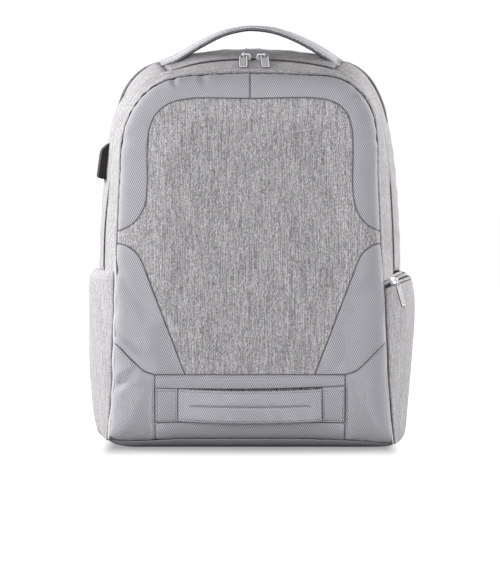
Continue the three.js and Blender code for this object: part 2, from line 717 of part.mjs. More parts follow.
sliderAndPull(
  "pocket",
  pocketFoot.clone().addScaledVector(pocketOut, GAP),
  pocketAlong,
  pocketOut,
  pocketFoot.clone().add(pocketHang),
);

// USB housing on the left gusset, its profile seen from the front
const usbStep = stepAtHeight(USB.depth, USB.height);
const usbFoot = archPoint(USB.depth, usbStep);
const usbTop = archPoint(USB.depth, stepAtHeight(USB.depth, USB.height + USB.length));
const usbUp = usbTop.sub(usbFoot).normalize();
const usbProfile = new THREE.Shape();
usbProfile.moveTo(0, 0);
usbProfile.lineTo(USB.lean, USB.thickness - USB.corner);
usbProfile.quadraticCurveTo(USB.lean, USB.thickness, USB.lean + USB.corner, USB.thickness);
const [slopeStart, slopeBend, slopeEnd] = USB_SLOPE.map(
  ({ along, out }) => new THREE.Vector2(along * USB.length, out * USB.thickness),
);
usbProfile.lineTo(slopeStart.x, slopeStart.y);
usbProfile.quadraticCurveTo(slopeBend.x, slopeBend.y, slopeEnd.x, slopeEnd.y);
usbProfile.lineTo(USB.length, 0);
const usbShape = new THREE.ExtrudeGeometry(usbProfile, {
  depth: USB.width,
  bevelEnabled: true,
  bevelThickness: USB.bevel,
  bevelSize: USB.bevel,
  bevelOffset: -USB.bevel,
  bevelSegments: 2,
  curveSegments: 5,
});
usbShape.translate(0, 0, -USB.width / 2);
const usbBeside = (depth) => archPoint(depth, stepAtHeight(depth, USB.height + USB.length / 2));
const usbDepthwise = usbBeside(USB.depth - USB.width / 2).sub(usbBeside(USB.depth + USB.width / 2));
const usbOut = usbUp.clone().cross(usbDepthwise).normalize();
const usbSeat = usbFoot.clone().addScaledVector(usbOut, USB.off);
const usbPlace = placed(usbSeat, usbUp, usbUp.clone().cross(usbOut));
piece("usb_housing", fromSolid(solid(usbShape)), "plastic", usbPlace);

// Straps on the back: flat bands along a path, bulged in the middle when padded
function pathOf(rows, side) {
  const points = rows.map((row) => point(row.across * side, BACK - row.behind, row.height));
  return new THREE.CatmullRomCurve3(points);
}
function strapLoops(path, steps, width, thickness, edge) {
  return spread(0, 1, steps).map((t) => {
    const at = path.getPoint(t);
    const along = path.getTangent(t);
    const sideways = new THREE.Vector3(1, 0, 0).addScaledVector(along, -along.x).normalize();
    const out = along.clone().cross(sideways);
    const corner = (across, lift) => at.clone().addScaledVector(sideways, across).addScaledVector(out, lift);
    const [half, flat, rim, face] = [width / 2, (STRAP_FLAT * width) / 2, edge / 2, thickness / 2];
    return [
      corner(-half, -rim), corner(-flat, -face), corner(flat, -face), corner(half, -rim),
      corner(half, rim), corner(flat, face), corner(-flat, face), corner(-half, rim),
    ];
  });
}

// Adjuster: a plastic frame with two slots, lying along +Y from its upper end
function adjusterGeometry() {
  const half = ADJUSTER.width / 2;
  const frame = new THREE.Shape();
  frame.moveTo(-half, 0);
  frame.lineTo(half, 0);
  frame.lineTo(half, ADJUSTER.length);
  frame.lineTo(-half, ADJUSTER.length);
  for (const start of [ADJUSTER.bar * 2, ADJUSTER.length - ADJUSTER.bar - ADJUSTER.slot]) {
    const slot = new THREE.Path();
    slot.moveTo(ADJUSTER.bar - half, start);
    slot.lineTo(ADJUSTER.bar - half, start + ADJUSTER.slot);
    slot.lineTo(half - ADJUSTER.bar, start + ADJUSTER.slot);
    slot.lineTo(half - ADJUSTER.bar, start);
    frame.holes.push(slot);
  }
  const shape = new THREE.ExtrudeGeometry(frame, { depth: ADJUSTER.thickness, bevelEnabled: false });
  shape.translate(0, 0, -ADJUSTER.thickness / 2);
  return fromSolid(solid(shape));
}

for (const [name, side] of [["left", -1], ["right", 1]]) {
  const strapPath = pathOf(STRAP_PATH, side);
  const webbingPath = pathOf(WEBBING_PATH, side);
  const pad = strapLoops(strapPath, 18, STRAP.width, STRAP.thickness, STRAP.edge);
  const webbing = strapLoops(webbingPath, 6, WEBBING.width, WEBBING.thickness, WEBBING.thickness);
  const anchor = strapLoops(pathOf(ANCHOR_PATH, side), 4, ANCHOR.width, ANCHOR.cloth, ANCHOR.cloth);
  piece(`shoulder_strap_${name}`, loft(pad), "weave");
  piece(`webbing_${name}`, loft(webbing), "dark");
  piece(`anchor_${name}`, loft(anchor), "dark");
  const start = strapPath.getPoint(1);
  const down = webbingPath.getPoint(0).sub(start).normalize();
  const sideways = new THREE.Vector3(1, 0, 0).addScaledVector(down, -down.x).normalize();
  const seat = start.clone().addScaledVector(down, GAP);
  const adjuster = placed(seat, sideways, sideways.clone().cross(down));
  piece(`adjuster_${name}`, adjusterGeometry(), "plastic", adjuster);
}

// The origin is under the middle of the whole, so the pack moves back by half of what stands out
const reachFront = FRONT + FRONT_CROWN + CARRY.off + CARRY.bow + CARRY.thickness;
const reachBack = Math.max(...STRAP_PATH.map((row) => row.behind)) + STRAP.thickness / 2;
pack.position.y = (reachFront - reachBack) / 2;

export default pack;
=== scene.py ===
import json
import math

import bpy
import numpy as np
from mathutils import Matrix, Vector
from mathutils.geometry import delaunay_2d_cdt


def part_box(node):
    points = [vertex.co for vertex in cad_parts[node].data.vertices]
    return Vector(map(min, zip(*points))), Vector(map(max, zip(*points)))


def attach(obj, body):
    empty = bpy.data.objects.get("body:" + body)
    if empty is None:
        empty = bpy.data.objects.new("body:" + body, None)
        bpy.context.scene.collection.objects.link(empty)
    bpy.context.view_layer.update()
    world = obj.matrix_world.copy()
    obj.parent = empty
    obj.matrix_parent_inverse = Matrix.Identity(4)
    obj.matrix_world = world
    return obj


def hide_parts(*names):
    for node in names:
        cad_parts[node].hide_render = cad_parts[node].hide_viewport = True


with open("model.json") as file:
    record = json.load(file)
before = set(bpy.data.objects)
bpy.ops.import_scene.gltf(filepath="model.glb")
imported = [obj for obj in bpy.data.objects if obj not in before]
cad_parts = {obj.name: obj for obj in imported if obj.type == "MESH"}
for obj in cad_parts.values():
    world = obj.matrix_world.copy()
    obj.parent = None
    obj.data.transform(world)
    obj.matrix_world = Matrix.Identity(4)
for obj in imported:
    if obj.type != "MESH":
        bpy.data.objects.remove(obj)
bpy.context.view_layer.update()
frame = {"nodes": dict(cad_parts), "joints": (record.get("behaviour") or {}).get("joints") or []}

mm = 0.001  # the patterns below are drawn in millimetres, Blender works in metres
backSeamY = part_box("back_panel")[0].y / mm  # depth 0, the back seam, stands here


# The pack's form: an arch at five depths, counted forwards from the back seam
pack = dict(foot=10, shoulder=318, fullness=0.6, front=148, back=0, middle=195, crownPower=6)
outline = dict(
    depth=(0, 42, 66, 108, 148),
    base=(154, 154, 154, 154, 154),
    waist=(158, 170, 169.5, 160, 146),
    shoulder=(150, 159, 158.5, 151, 139),
    shelf=(92, 100, 97, 84, 72),
    shelfTop=(411, 421.5, 424.5, 414, 401),
    top=(419, 429.5, 433.5, 421, 404),
)
archTop = 20  # step 0 is the left foot, 20 the top and 40 the right foot
archEnd = 2 * archTop
turn = 2 * math.pi


def through(xs, ys, at):  # a smooth line through a few measured points
    xs, ys, at = (np.asarray(v, float) for v in (xs, ys, at))
    slope = np.diff(ys) / np.diff(xs)
    bend = np.concatenate([slope[:1], (slope[:-1] + slope[1:]) / 2, slope[-1:]])
    i = np.clip(np.searchsorted(xs, at) - 1, 0, len(xs) - 2)
    width = xs[i + 1] - xs[i]
    t = (at - xs[i]) / width
    rise = ys[i] * (1 + 2 * t) * (1 - t) ** 2 + ys[i + 1] * t * t * (3 - 2 * t)
    return rise + width * t * (1 - t) * (bend[i] * (1 - t) - bend[i + 1] * t)


def bezier(t, points):
    n = len(points) - 1
    weights = [math.comb(n, i) * t**i * (1 - t) ** (n - i) for i in range(n + 1)]
    return [sum(w * p[k] for w, p in zip(weights, points)) for k in (0, 1)]


def archAt(depth, step):
    depth, step = np.broadcast_arrays(np.asarray(depth, float), np.asarray(step, float))
    o = {k: through(outline["depth"], outline[k], depth) for k in outline}
    foot, shoulder = pack["foot"], pack["shoulder"]
    third = (shoulder - foot) / 3
    lean = (o["waist"] - o["shoulder"]) / third
    rise = pack["fullness"] * (o["shelfTop"] - shoulder)
    reach = pack["fullness"] * (o["shoulder"] - o["shelf"])
    fall = 2 * (o["top"] - o["shelfTop"]) / o["shelf"]
    up = np.minimum(step, archEnd - step)
    side = bezier(np.clip(up / 8, 0, 1), [
        (o["base"], foot), (o["waist"], foot + third),
        (o["waist"], shoulder - third), (o["shoulder"], shoulder)])
    corner = bezier(np.clip(up / 8 - 1, 0, 1), [
        (o["shoulder"], shoulder), (o["shoulder"] - lean * rise, shoulder + rise),
        (o["shelf"] + reach, o["shelfTop"] - fall * reach), (o["shelf"], o["shelfTop"])])
    top = bezier(np.clip(up / 4 - 4, 0, 1), [
        (o["shelf"], o["shelfTop"]), (o["shelf"] / 2, o["top"]), (0, o["top"])])
    x, z = (np.select([up <= 8, up <= 16], [side[k], corner[k]], top[k]) for k in (0, 1))
    return np.where(step > archTop, x, -x), z


def joined(*parts):  # coordinates that spread over each other, as points
    return np.stack(np.broadcast_arrays(*parts), -1)


def runAlong(line):  # how far along a line each of its points lies
    return np.concatenate([[0], np.cumsum(np.linalg.norm(np.diff(line, axis=0), axis=1))])


def circle(count):  # even angles all round
    return np.linspace(0, turn, count, endpoint=False)


def archPoints(depth, step):
    x, z = archAt(depth, step)
    return joined(x, depth, z)


midDepth = 77.0
core = np.array((0, midDepth, 200))  # a place inside, which every wall faces away from
walkSteps = np.linspace(0, archEnd, 2001)
walkPath = archPoints(midDepth, walkSteps)
walked = runAlong(walkPath)


def walkedTo(steps):  # millimetres along the arch
    return np.interp(steps, walkSteps, walked)


def stepsEvery(gap, start, end):  # even steps along the arch
    reach = walkedTo([start, end])
    return np.interp(np.linspace(*reach, int(np.ptp(reach) / gap) + 2), walked, walkSteps)


def stepAtHeight(depth, height):
    steps = np.linspace(0, archTop, 401)
    return np.interp(height, archAt(depth, steps)[1], steps)


def stepAcross(depth, half):
    steps = np.linspace(8, archTop, 401)
    return np.interp(-half, archAt(depth, steps)[0], steps)


def wallAt(depth, height):
    return -archAt(depth, stepAtHeight(depth, height))[0]


# How the cloth has slumped away from the even form
cornerDrop = dict(across=(-154, -141, -124, -100, -80, 60, 100, 125, 150),
                  down=(0, 2.2, 2.4, 1.2, 0, 0, 1.4, 2.8, 5.0))
dropAround = dict(lowest=10, ends=54, fades=44, behind=20, forwards=60)
shoulders = [  # the left one has sunk before its rear zip, the right one is fuller at front and back
    dict(side=-1, across=117, height=410, reach=46, depths=(36, 47, 130, 148), out=(1.4, -3.6, -3.6, -1.0)),
    dict(side=1, across=130, height=392, reach=46, depths=(36, 47, 112, 138), out=(2.7, -2.1, -2.1, 2.3)),
]
flatTop = 1.8  # how much wider the middle of a shoulder's push is than a plain bump
sideDraw = dict(  # how far the front seam is drawn in at each side, up the height
    left=((0, 9, 40, 71, 113, 150, 190, 300, 335), (0.4, 1.2, 2.6, 3.2, 1.6, 2.0, 1.0, 1.0, 0)),
    right=((0, 9, 40, 71, 113, 179, 222, 300, 335, 357, 380),
           (-0.4, -0.4, 1.0, 2.1, 1.9, 2.5, 3.5, 3.6, 2.1, 1.1, 0)),
)
drawAround = dict(across=112, acrossWidth=33, depth=108, depthWidth=32)


def ramp(value, start, width):  # 0 before the start, 1 past the width
    return np.clip((value - start) / width, 0, 1)


def toWorld(points):  # across, depth and height in millimetres to Blender's metres, the soft corners settled
    x, depth, z = np.moveaxis(np.asarray(points, float), -1, 0)
    low, draw = dropAround, drawAround
    corner = ramp(z, 0, low["lowest"]) * ramp(-z, -low["ends"], low["fades"])
    up = -corner * ramp(depth, low["behind"], low["forwards"]) * np.interp(x, *cornerDrop.values())
    beside = ramp(np.abs(x), draw["across"], draw["acrossWidth"])
    seam = beside * ramp(depth, draw["depth"], draw["depthWidth"])
    over = seam * np.where(x < 0, np.interp(z, *sideDraw["left"]), -np.interp(z, *sideDraw["right"]))
    for soft in shoulders:
        near = bump(np.hypot(x - soft["side"] * soft["across"], z - soft["height"]), soft["reach"])
        push = np.minimum(1, flatTop * near) * np.interp(depth, soft["depths"], soft["out"])
        over, up = over + soft["side"] * push, up + push
    return np.stack([x + over, backSeamY - depth, z + up], -1) * mm


def unit(v):
    return v / np.maximum(np.linalg.norm(v, axis=-1, keepdims=True), 1e-12)


def ripple(t, seed, wavelength, waves=5):  # uneven waves of about one millimetre
    draw = np.random.default_rng(seed)
    total = 0
    for _ in range(waves):
        total = total + np.sin(2 * np.pi * t / (wavelength * draw.uniform(0.6, 1.7)) + draw.uniform(0, 6.3))
    return total / math.sqrt(waves)


def bump(d, width):  # a soft ridge across a line
    return np.exp(-((d / width) ** 2))


def rolled(d, width):  # how far cloth has turned down into a seam at a distance from it
    return 1 - np.sqrt(1 - (1 - np.clip(d / width, 0, 1)) ** 2)


def newObject(name, data):
    obj = bpy.data.objects.new(name, data)
    bpy.context.scene.collection.objects.link(obj)
    return obj


def makePiece(name, verts, faces, uv=None, seam=None, sharp=50):
    mesh = bpy.data.meshes.new(name)
    mesh.from_pydata(np.asarray(verts, float).tolist(), [], faces)
    mesh.calc_loop_triangles()
    corners = np.empty(3 * len(mesh.loop_triangles), int)
    mesh.loop_triangles.foreach_get("vertices", corners)
    a, b, c = np.asarray(verts)[corners.reshape(-1, 3)].transpose(1, 0, 2)
    if np.einsum("ij,ij->", a, np.cross(b, c)) < 0:
        mesh.flip_normals()
    if uv is not None:
        loops = np.empty(len(mesh.loops), int)
        mesh.loops.foreach_get("vertex_index", loops)
        layer = mesh.uv_layers.new(name="cloth")
        layer.uv.foreach_set("vector", np.asarray(uv, np.float32)[loops].ravel())
    # the seam attribute holds painted seam shade: how far each point's colour darkens
    if seam is not None:
        shade = mesh.attributes.new("seam", "FLOAT", "POINT")
        shade.data.foreach_set("value", np.asarray(seam, np.float32))
    mesh.shade_smooth()
    mesh.set_sharp_from_angle(angle=math.radians(sharp))
    return newObject(name, mesh)


def settle(obj, material, slot, nodes=(), body="pack"):
    if not obj.data.materials:
        obj.data.materials.append(material)
    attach(obj, body)
    if nodes:
        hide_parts(*nodes)
    return obj


def flatMap(across, along):  # a cloth map from two measures
    return joined(across, along).reshape(-1, 2) * mm


def sew(name, body, uv, finish, slot, nodes=(), seam=None, sharp=50):  # a body in millimetres
    verts, faces = body
    obj = makePiece(name, toWorld(verts), faces, uv, seam, sharp)
    settle(obj, finishes[finish], slot, nodes)
    return obj


def sewShell(name, outer, inner, uv, finish, slot, nodes=(), seam=None):  # both faces map alike
    uv, seam = (None if v is None else np.concatenate([v, v]) for v in (uv, seam))
    return sew(name, shellOf(outer, inner), uv, finish, slot, nodes, seam)


def sewPatch(cut, name, finish, slot, nodes):
    verts, faces, uv, seam = cut
    return sew(name, (verts, faces), uv, finish, slot, nodes, seam)


def gridFaces(rows, cols, start=0, closed=False):
    i, k = np.meshgrid(np.arange(rows - 1), np.arange(cols if closed else cols - 1), indexing="ij")
    here, beside = start + i * cols + k, start + i * cols + (k + 1) % cols
    return np.stack([here, beside, beside + cols, here + cols], -1).reshape(-1, 4).tolist()


def shellOf(outer, inner):  # a wall from its two faces, both grids of points
    rows, cols = outer.shape[:2]
    size = rows * cols
    rim = np.concatenate([
        np.arange(cols), np.arange(1, rows) * cols + cols - 1,
        (rows - 1) * cols + np.arange(cols - 2, -1, -1), np.arange(rows - 2, 0, -1) * cols])
    after = np.roll(rim, -1)
    back = [face[::-1] for face in gridFaces(rows, cols, size)]
    edge = np.stack([after, rim, rim + size, after + size], -1).tolist()
    return np.concatenate([outer.reshape(-1, 3), inner.reshape(-1, 3)]), gridFaces(rows, cols) + back + edge


def loft(loops):  # a closed body through rings of points
    rows, cols = loops.shape[:2]
    caps = [list(range(cols))[::-1], [(rows - 1) * cols + k for k in range(cols)]]
    return loops.reshape(-1, 3), gridFaces(rows, cols, 0, True) + caps


def tubeAlong(path, radius, sides, squash=1.0):  # a round body along a line, its ends closed
    path = np.asarray(path, float)
    along = unit(np.gradient(path, axis=0))
    side = unit(np.cross(along, np.where(np.abs(along[:1, 2:]) < 0.9, [[0, 0, 1.0]], [[1.0, 0, 0]])))
    for i in range(1, len(path)):
        side[i] = unit(side[i - 1] - along[i] * (side[i - 1] @ along[i]))
    up = np.cross(along, side)
    angle = circle(sides)
    radius = np.broadcast_to(radius, len(path))[:, None, None]
    ring = np.cos(angle)[None, :, None] * side[:, None] + squash * np.sin(angle)[None, :, None] * up[:, None]
    return loft(path[:, None] + radius * ring)


def merged(*bodies):  # several bodies as one mesh
    verts, faces, start = [], [], 0
    for v, f in bodies:
        verts.append(np.asarray(v, float))
        faces += [[i + start for i in face] for face in f]
        start += len(v)
    return np.concatenate(verts), faces


def normalsOf(grid, towards):  # outward directions on a grid of points
    n = unit(np.cross(np.gradient(grid, axis=0), np.gradient(grid, axis=1)))
    return n * np.sign((n * towards).sum(-1, keepdims=True))


def smoothLine(points, gap):  # centripetal spline through given points, in even steps
    p = np.asarray(points, float)
    p = np.concatenate([[2 * p[0] - p[1]], p, [2 * p[-1] - p[-2]]])
    knots = np.concatenate([[0], np.cumsum(np.linalg.norm(np.diff(p, axis=0), axis=1) ** 0.5)])
    line = []
    for i in range(1, len(p) - 2):
        t = np.linspace(knots[i], knots[i + 1], 24, endpoint=False)[:, None]
        t0, t1, t2, t3 = knots[i - 1:i + 3]
        a1, a2, a3 = (
            (p[k] * (knots[k + 1] - t) + p[k + 1] * (t - knots[k])) / (knots[k + 1] - knots[k])
            for k in (i - 1, i, i + 1))
        b1 = (a1 * (t2 - t) + a2 * (t - t0)) / (t2 - t0)
        b2 = (a2 * (t3 - t) + a3 * (t - t1)) / (t3 - t1)
        line.append((b1 * (t2 - t) + b2 * (t - t1)) / (t2 - t1))
    return evenLine(np.concatenate(line + [p[-2:-1]]), gap)


def evenLine(line, gap):
    line = np.asarray(line, float)
    run = runAlong(line)
    at = np.linspace(0, run[-1], max(2, int(round(run[-1] / gap)) + 1))
    return np.stack([np.interp(at, run, line[:, k]) for k in range(line.shape[1])], -1)


def nearest(points, chain, closed=False):  # distance to a line, and how far along it that is
    a = chain if closed else chain[:-1]
    b = np.roll(chain, -1, axis=0) if closed else chain[1:]
    d = b - a
    size = np.maximum((d * d).sum(-1), 1e-12)
    run = np.concatenate([[0], np.cumsum(np.sqrt(size))])[:-1]
    gap, along = np.empty(len(points)), np.empty(len(points))
    for i in range(0, len(points), 2000):
        p = points[i:i + 2000, None]
        t = np.clip(((p - a) * d).sum(-1) / size, 0, 1)
        away = np.linalg.norm(p - a - t[..., None] * d, axis=-1)
        k = away.argmin(1)
        rows = np.arange(len(k))
        gap[i:i + 2000] = away[rows, k]
        along[i:i + 2000] = run[k] + t[rows, k] * np.sqrt(size[k])
    return gap, along


def inside(points, loop):
    a, b = loop, np.roll(loop, -1, axis=0)
    found = np.zeros(len(points), bool)
    for i in range(0, len(points), 2000):
        x, y = points[i:i + 2000, None, 0], points[i:i + 2000, None, 1]
        spans = (a[:, 1] > y) != (b[:, 1] > y)
        with np.errstate(divide="ignore", invalid="ignore"):
            cross = a[:, 0] + (y - a[:, 1]) * (b[:, 0] - a[:, 0]) / (b[:, 1] - a[:, 1])
        found[i:i + 2000] = (spans & (x < cross)).sum(1) % 2 == 1
    return found


# Materials: sockets that take part in sums, and one method for every other node
class Value:
    def __init__(self, graph, socket):
        self.graph, self.socket = graph, socket

    def work(self, operation, *inputs):
        return self.graph.node("Math", {"operation": operation}, dict(enumerate(inputs)))

    def __add__(self, other):
        return self.work("ADD", self, other)

    def __sub__(self, other):
        return self.work("SUBTRACT", self, other)

    def __rsub__(self, other):
        return self.work("SUBTRACT", other, self)

    def __mul__(self, other):
        return self.work("MULTIPLY", self, other)

    def __truediv__(self, other):
        return self.work("DIVIDE", self, other)

    def __pow__(self, other):
        return self.work("POWER", self, other)

    def sine(self):
        return self.work("SINE", self)

    def clamp(self):
        return self.graph.node("Clamp", {}, {"Value": self})

    __radd__, __rmul__ = __add__, __mul__


class Graph:
    def __init__(self, tree):
        self.tree = tree

    def node(self, kind, settings=None, inputs=None, output=0, family="ShaderNode"):
        node = self.tree.nodes.new(family + kind)
        for key, value in (settings or {}).items():
            if key == "stops":
                stops = node.color_ramp.elements
                for i, (at, colour) in enumerate(value):
                    stop = stops[i] if i < 2 else stops.new(at)
                    stop.position, stop.color = at, (*colour, 1)
            else:
                setattr(node, key, value)
        for key, value in (inputs or {}).items():
            self.feed(node.inputs[key], value)
        return Value(self, node.outputs[output])

    def feed(self, socket, value):
        if isinstance(value, Value):
            self.tree.links.new(value.socket, socket)
        else:
            socket.default_value = value


def srgb(*levels):  # a colour as it is read off a screen, 0 to 255
    part = np.asarray(levels, float) / 255
    return tuple(np.where(part < 0.04045, part / 12.92, ((part + 0.055) / 1.055) ** 2.4).tolist())


class Finish(Graph):
    def __init__(self, name, **fixed):
        self.material = bpy.data.materials.new(name)
        self.material.use_nodes = True
        super().__init__(self.material.node_tree)
        self.shader = self.tree.nodes["Principled BSDF"]
        for key, value in fixed.items():
            self.shader.inputs[key.replace("_", " ")].default_value = value

    def uv(self, *pitch):  # the piece's own cloth map, counted in threads of these sizes in millimetres
        flat = self.node("UVMap", {"uv_map": "cloth"})
        return self.scaled(flat, *pitch)

    def place(self, *pitch):
        return self.scaled(self.node("TexCoord", {}, {}, "Object"), *pitch)

    def scaled(self, vector, *pitch):
        across, along, up = (*pitch, pitch[-1], pitch[-1])[:3]
        scale = (1000 / across, 1000 / along, 1000 / up)
        return self.node("Mapping", {}, {"Vector": vector, "Scale": scale})

    def noise(self, vector, detail, rough):
        inputs = {"Vector": vector, "Scale": 1.0, "Detail": detail, "Roughness": rough}
        return self.node("TexNoise", {}, inputs)

    def parts(self, vector):
        node = self.tree.nodes.new("ShaderNodeSeparateXYZ")
        self.feed(node.inputs[0], vector)
        return [Value(self, out) for out in node.outputs]

    def mix(self, share, a, b):
        return self.node("Mix", {"data_type": "RGBA"}, {0: share, 6: a, 7: b}, 2)

    def shade(self, colour, factor):  # a colour made lighter or darker by a number
        grey = self.node("CombineColor", {}, {"Red": factor, "Green": factor, "Blue": factor})
        settings = {"data_type": "RGBA", "blend_type": "MULTIPLY"}
        return self.node("Mix", settings, {0: 1.0, 6: colour, 7: grey}, 2)

    def seam(self, depth):  # painted seam shade: the cloth's colour darkens by the seam attribute, where shade falls in the seam's groove
        mark = self.node("Attribute", {"attribute_name": "seam"}, {}, "Fac")
        return 1 - depth * mark

    def finish(self, colour, height, lift, roughness=None):
        self.feed(self.shader.inputs["Base Color"], colour)
        if roughness is not None:
            self.feed(self.shader.inputs["Roughness"], roughness)
        normal = self.node("Bump", {}, {"Strength": 1.0, "Distance": lift * mm, "Height": height})
        self.feed(self.shader.inputs["Normal"], normal)
        return self.material


melangeYarns = dict(askew=(0.5, 0.4, 0.6), slub=7.0, fleck=2.0, tinted=3.2)


def crossed(f, *pitch):  # staggered dots, and the two counts of threads they come from
    u, v, _ = f.parts(f.uv(*pitch))
    return (u * turn).sine() * (v * turn).sine(), u, v


def melangeCloth(name, dark, middle, light, warm, cool, streak=30):  # slubby yarns of several greys
    f = Finish(name, Roughness=0.92, Specular_IOR_Level=0.25, Sheen_Weight=0.15, Sheen_Roughness=0.6)
    m, yarns = melangeYarns, []
    for across, along in ((0.75, streak), (0.7, m["slub"]), (0.7, m["fleck"])):
        threads = {"Vector": f.uv(across, along), "Rotation": m["askew"]}  # askew, so no rows show
        yarns.append(f.noise(f.node("Mapping", {}, threads), 0, 0.5) - 0.5)
    yarn, slub, fleck = yarns
    tone = 0.5 + 1.15 * yarn + 1.05 * slub + 1.75 * fleck
    grey = f.node("ValToRGB", {"stops": [(0.12, dark), (0.88, light), (0.5, middle)]}, {"Fac": tone})
    dye = f.noise(f.uv(1.2, 9.0), 0, 0.5)
    warmed = f.mix(((dye - 0.57) * m["tinted"]).clamp(), grey, (*warm, 1))
    cooled = f.mix(((0.42 - dye) * m["tinted"]).clamp(), warmed, (*cool, 1))
    height = 0.5 + 0.25 * crossed(f, 0.85)[0] + 0.8 * yarn + 0.4 * fleck
    # the colour darkens by the seam attribute: painted seam shade
    return f.finish(f.shade(cooled, f.seam(0.65)), height, 0.3)


def dobbyCloth(name, colour, contrast=0.6):  # staggered raised dots
    f = Finish(name, Roughness=0.8, Specular_IOR_Level=0.3, Sheen_Weight=0.1, Sheen_Roughness=0.5)
    dots, u, v = crossed(f, 2.25, 4.4)
    weave = 0.8 * dots + 0.2 * ((u + 2 * v) * turn).sine()
    fine, wide = f.noise(f.uv(1.1), 2, 0.6) - 0.5, f.noise(f.uv(46), 2, 0.5) - 0.5
    tone = 1 + contrast * weave + 0.2 * fine + 0.07 * wide
    # the colour darkens by the seam attribute: painted seam shade
    return f.finish(f.shade((*colour, 1), tone * f.seam(0.65)), 0.5 + 0.4 * weave + 0.3 * fine, 0.4)


def tapeCloth(name, colour, pitch=1.3):  # ribbed woven tape
    f = Finish(name, Roughness=0.85, Specular_IOR_Level=0.25)
    u, v, _ = f.parts(f.uv(pitch))
    rib = (v * turn).sine() + 0.4 * (u * turn * 0.5).sine()
    tone = 1 + 0.16 * rib + 0.3 * (f.noise(f.uv(0.7), 2, 0.6) - 0.5)
    return f.finish(f.shade((*colour, 1), tone), 0.5 + 0.3 * rib, 0.3)


def airMesh(name, colour):  # spacer cloth with staggered round holes
    f = Finish(name, Roughness=0.95, Specular_IOR_Level=0.2, Sheen_Weight=0.2)
    fine = f.noise(f.uv(0.6), 2, 0.6)
    holes = ((crossed(f, 4.2)[0] - 0.35) * 3).clamp()
    tone = (1 - 0.6 * holes) * (1 + 0.25 * (fine - 0.5))
    # the colour darkens by the seam attribute: painted seam shade
    return f.finish(f.shade((*colour, 1), tone * f.seam(0.6)), 0.7 - 0.6 * holes + 0.1 * fine, 0.7)


def thread(name, colour):
    f = Finish(name, Roughness=0.75, Specular_IOR_Level=0.3)
    x, _, z = f.parts(f.place(0.5))
    ply = (x * turn + z * turn).sine()
    tone = 1 + 0.14 * ply + 0.2 * (f.noise(f.place(0.4), 1, 0.5) - 0.5)
    return f.finish(f.shade((*colour, 1), tone), 0.5 + 0.5 * ply, 0.08)


def moulded(name, colour, roughness, grain=0.5, metal=0.0):  # plastic, rubber and painted metal
    f = Finish(name, Specular_IOR_Level=0.45, Metallic=metal)
    pits, worn = f.noise(f.place(grain), 3, 0.6), f.noise(f.place(9), 2, 0.5) - 0.5
    marked = 0.1 * (pits - 0.5)
    tone, rough = 1 + 0.12 * worn + marked, roughness + 0.16 * worn + marked
    return f.finish(f.shade((*colour, 1), tone), pits, 0.05, rough)


finishes = dict(
    melange=melangeCloth("front_melange", srgb(132, 130, 134), srgb(177, 175, 179), srgb(220, 219, 221),
                         srgb(190, 175, 162), srgb(162, 168, 182)),
    side=melangeCloth("side_melange", srgb(152, 150, 152), srgb(182, 180, 182), srgb(208, 206, 208),
                      srgb(184, 177, 171), srgb(174, 177, 183)),
    weave=dobbyCloth("grey_dobby", srgb(178, 178, 184)),
    paleWeave=dobbyCloth("pale_dobby", srgb(206, 206, 211), contrast=0.45),
    # a darker copy of the grey dobby: partly the base's own darker cloth, partly painted shade for
    # undersides; the grab handle's under layer uses it too
    base=dobbyCloth("base_dobby", srgb(126, 125, 131), contrast=0.4),
    # a dark copy of the melange: painted shade on the strip behind the carry handle
    recess=melangeCloth("recess_melange", srgb(34, 33, 35), srgb(84, 82, 84), srgb(170, 168, 168),
                        srgb(110, 104, 98), srgb(84, 86, 92), 3),
    # a dark layer under each pull's plate: painted shade round its edge and in its slots
    core=moulded("pull_core", srgb(62, 61, 64), 0.6),
    mesh=airMesh("back_mesh", srgb(84, 83, 88)),
    tape=tapeCloth("zip_tape", srgb(38, 37, 40)),
    paleTape=tapeCloth("pocket_zip_tape", srgb(70, 69, 73)),
    paleCoil=moulded("pocket_zip_coil", srgb(196, 195, 199), 0.45),
    webbing=tapeCloth("strap_webbing", srgb(92, 91, 96), 2.2),
    binding=tapeCloth("dark_binding", srgb(52, 51, 54), 0.9),
    coil=moulded("zip_coil", srgb(44, 43, 46), 0.55),
    thread=thread("grey_thread", srgb(112, 112, 118)),
    paleThread=thread("pale_thread", srgb(172, 171, 174)),
    # near-white colour and little metalness: partly the sliders' own light metal, partly painted reflection
    # for their bright glints
    metal=moulded("satin_metal", srgb(236, 236, 238), 0.3, 0.7, 0.25),
    rubber=moulded("pull_rubber", srgb(232, 231, 234), 0.5),
    inlay=moulded("pull_inlay", srgb(176, 175, 180), 0.6),
    # near white: a painted highlight for the pockets' rolled front edges
    edge=tapeCloth("light_binding", srgb(246, 245, 248), 0.9),
    black=moulded("black_plastic", srgb(15, 14, 16), 0.75, 0.35),
)
print("finishes ready")


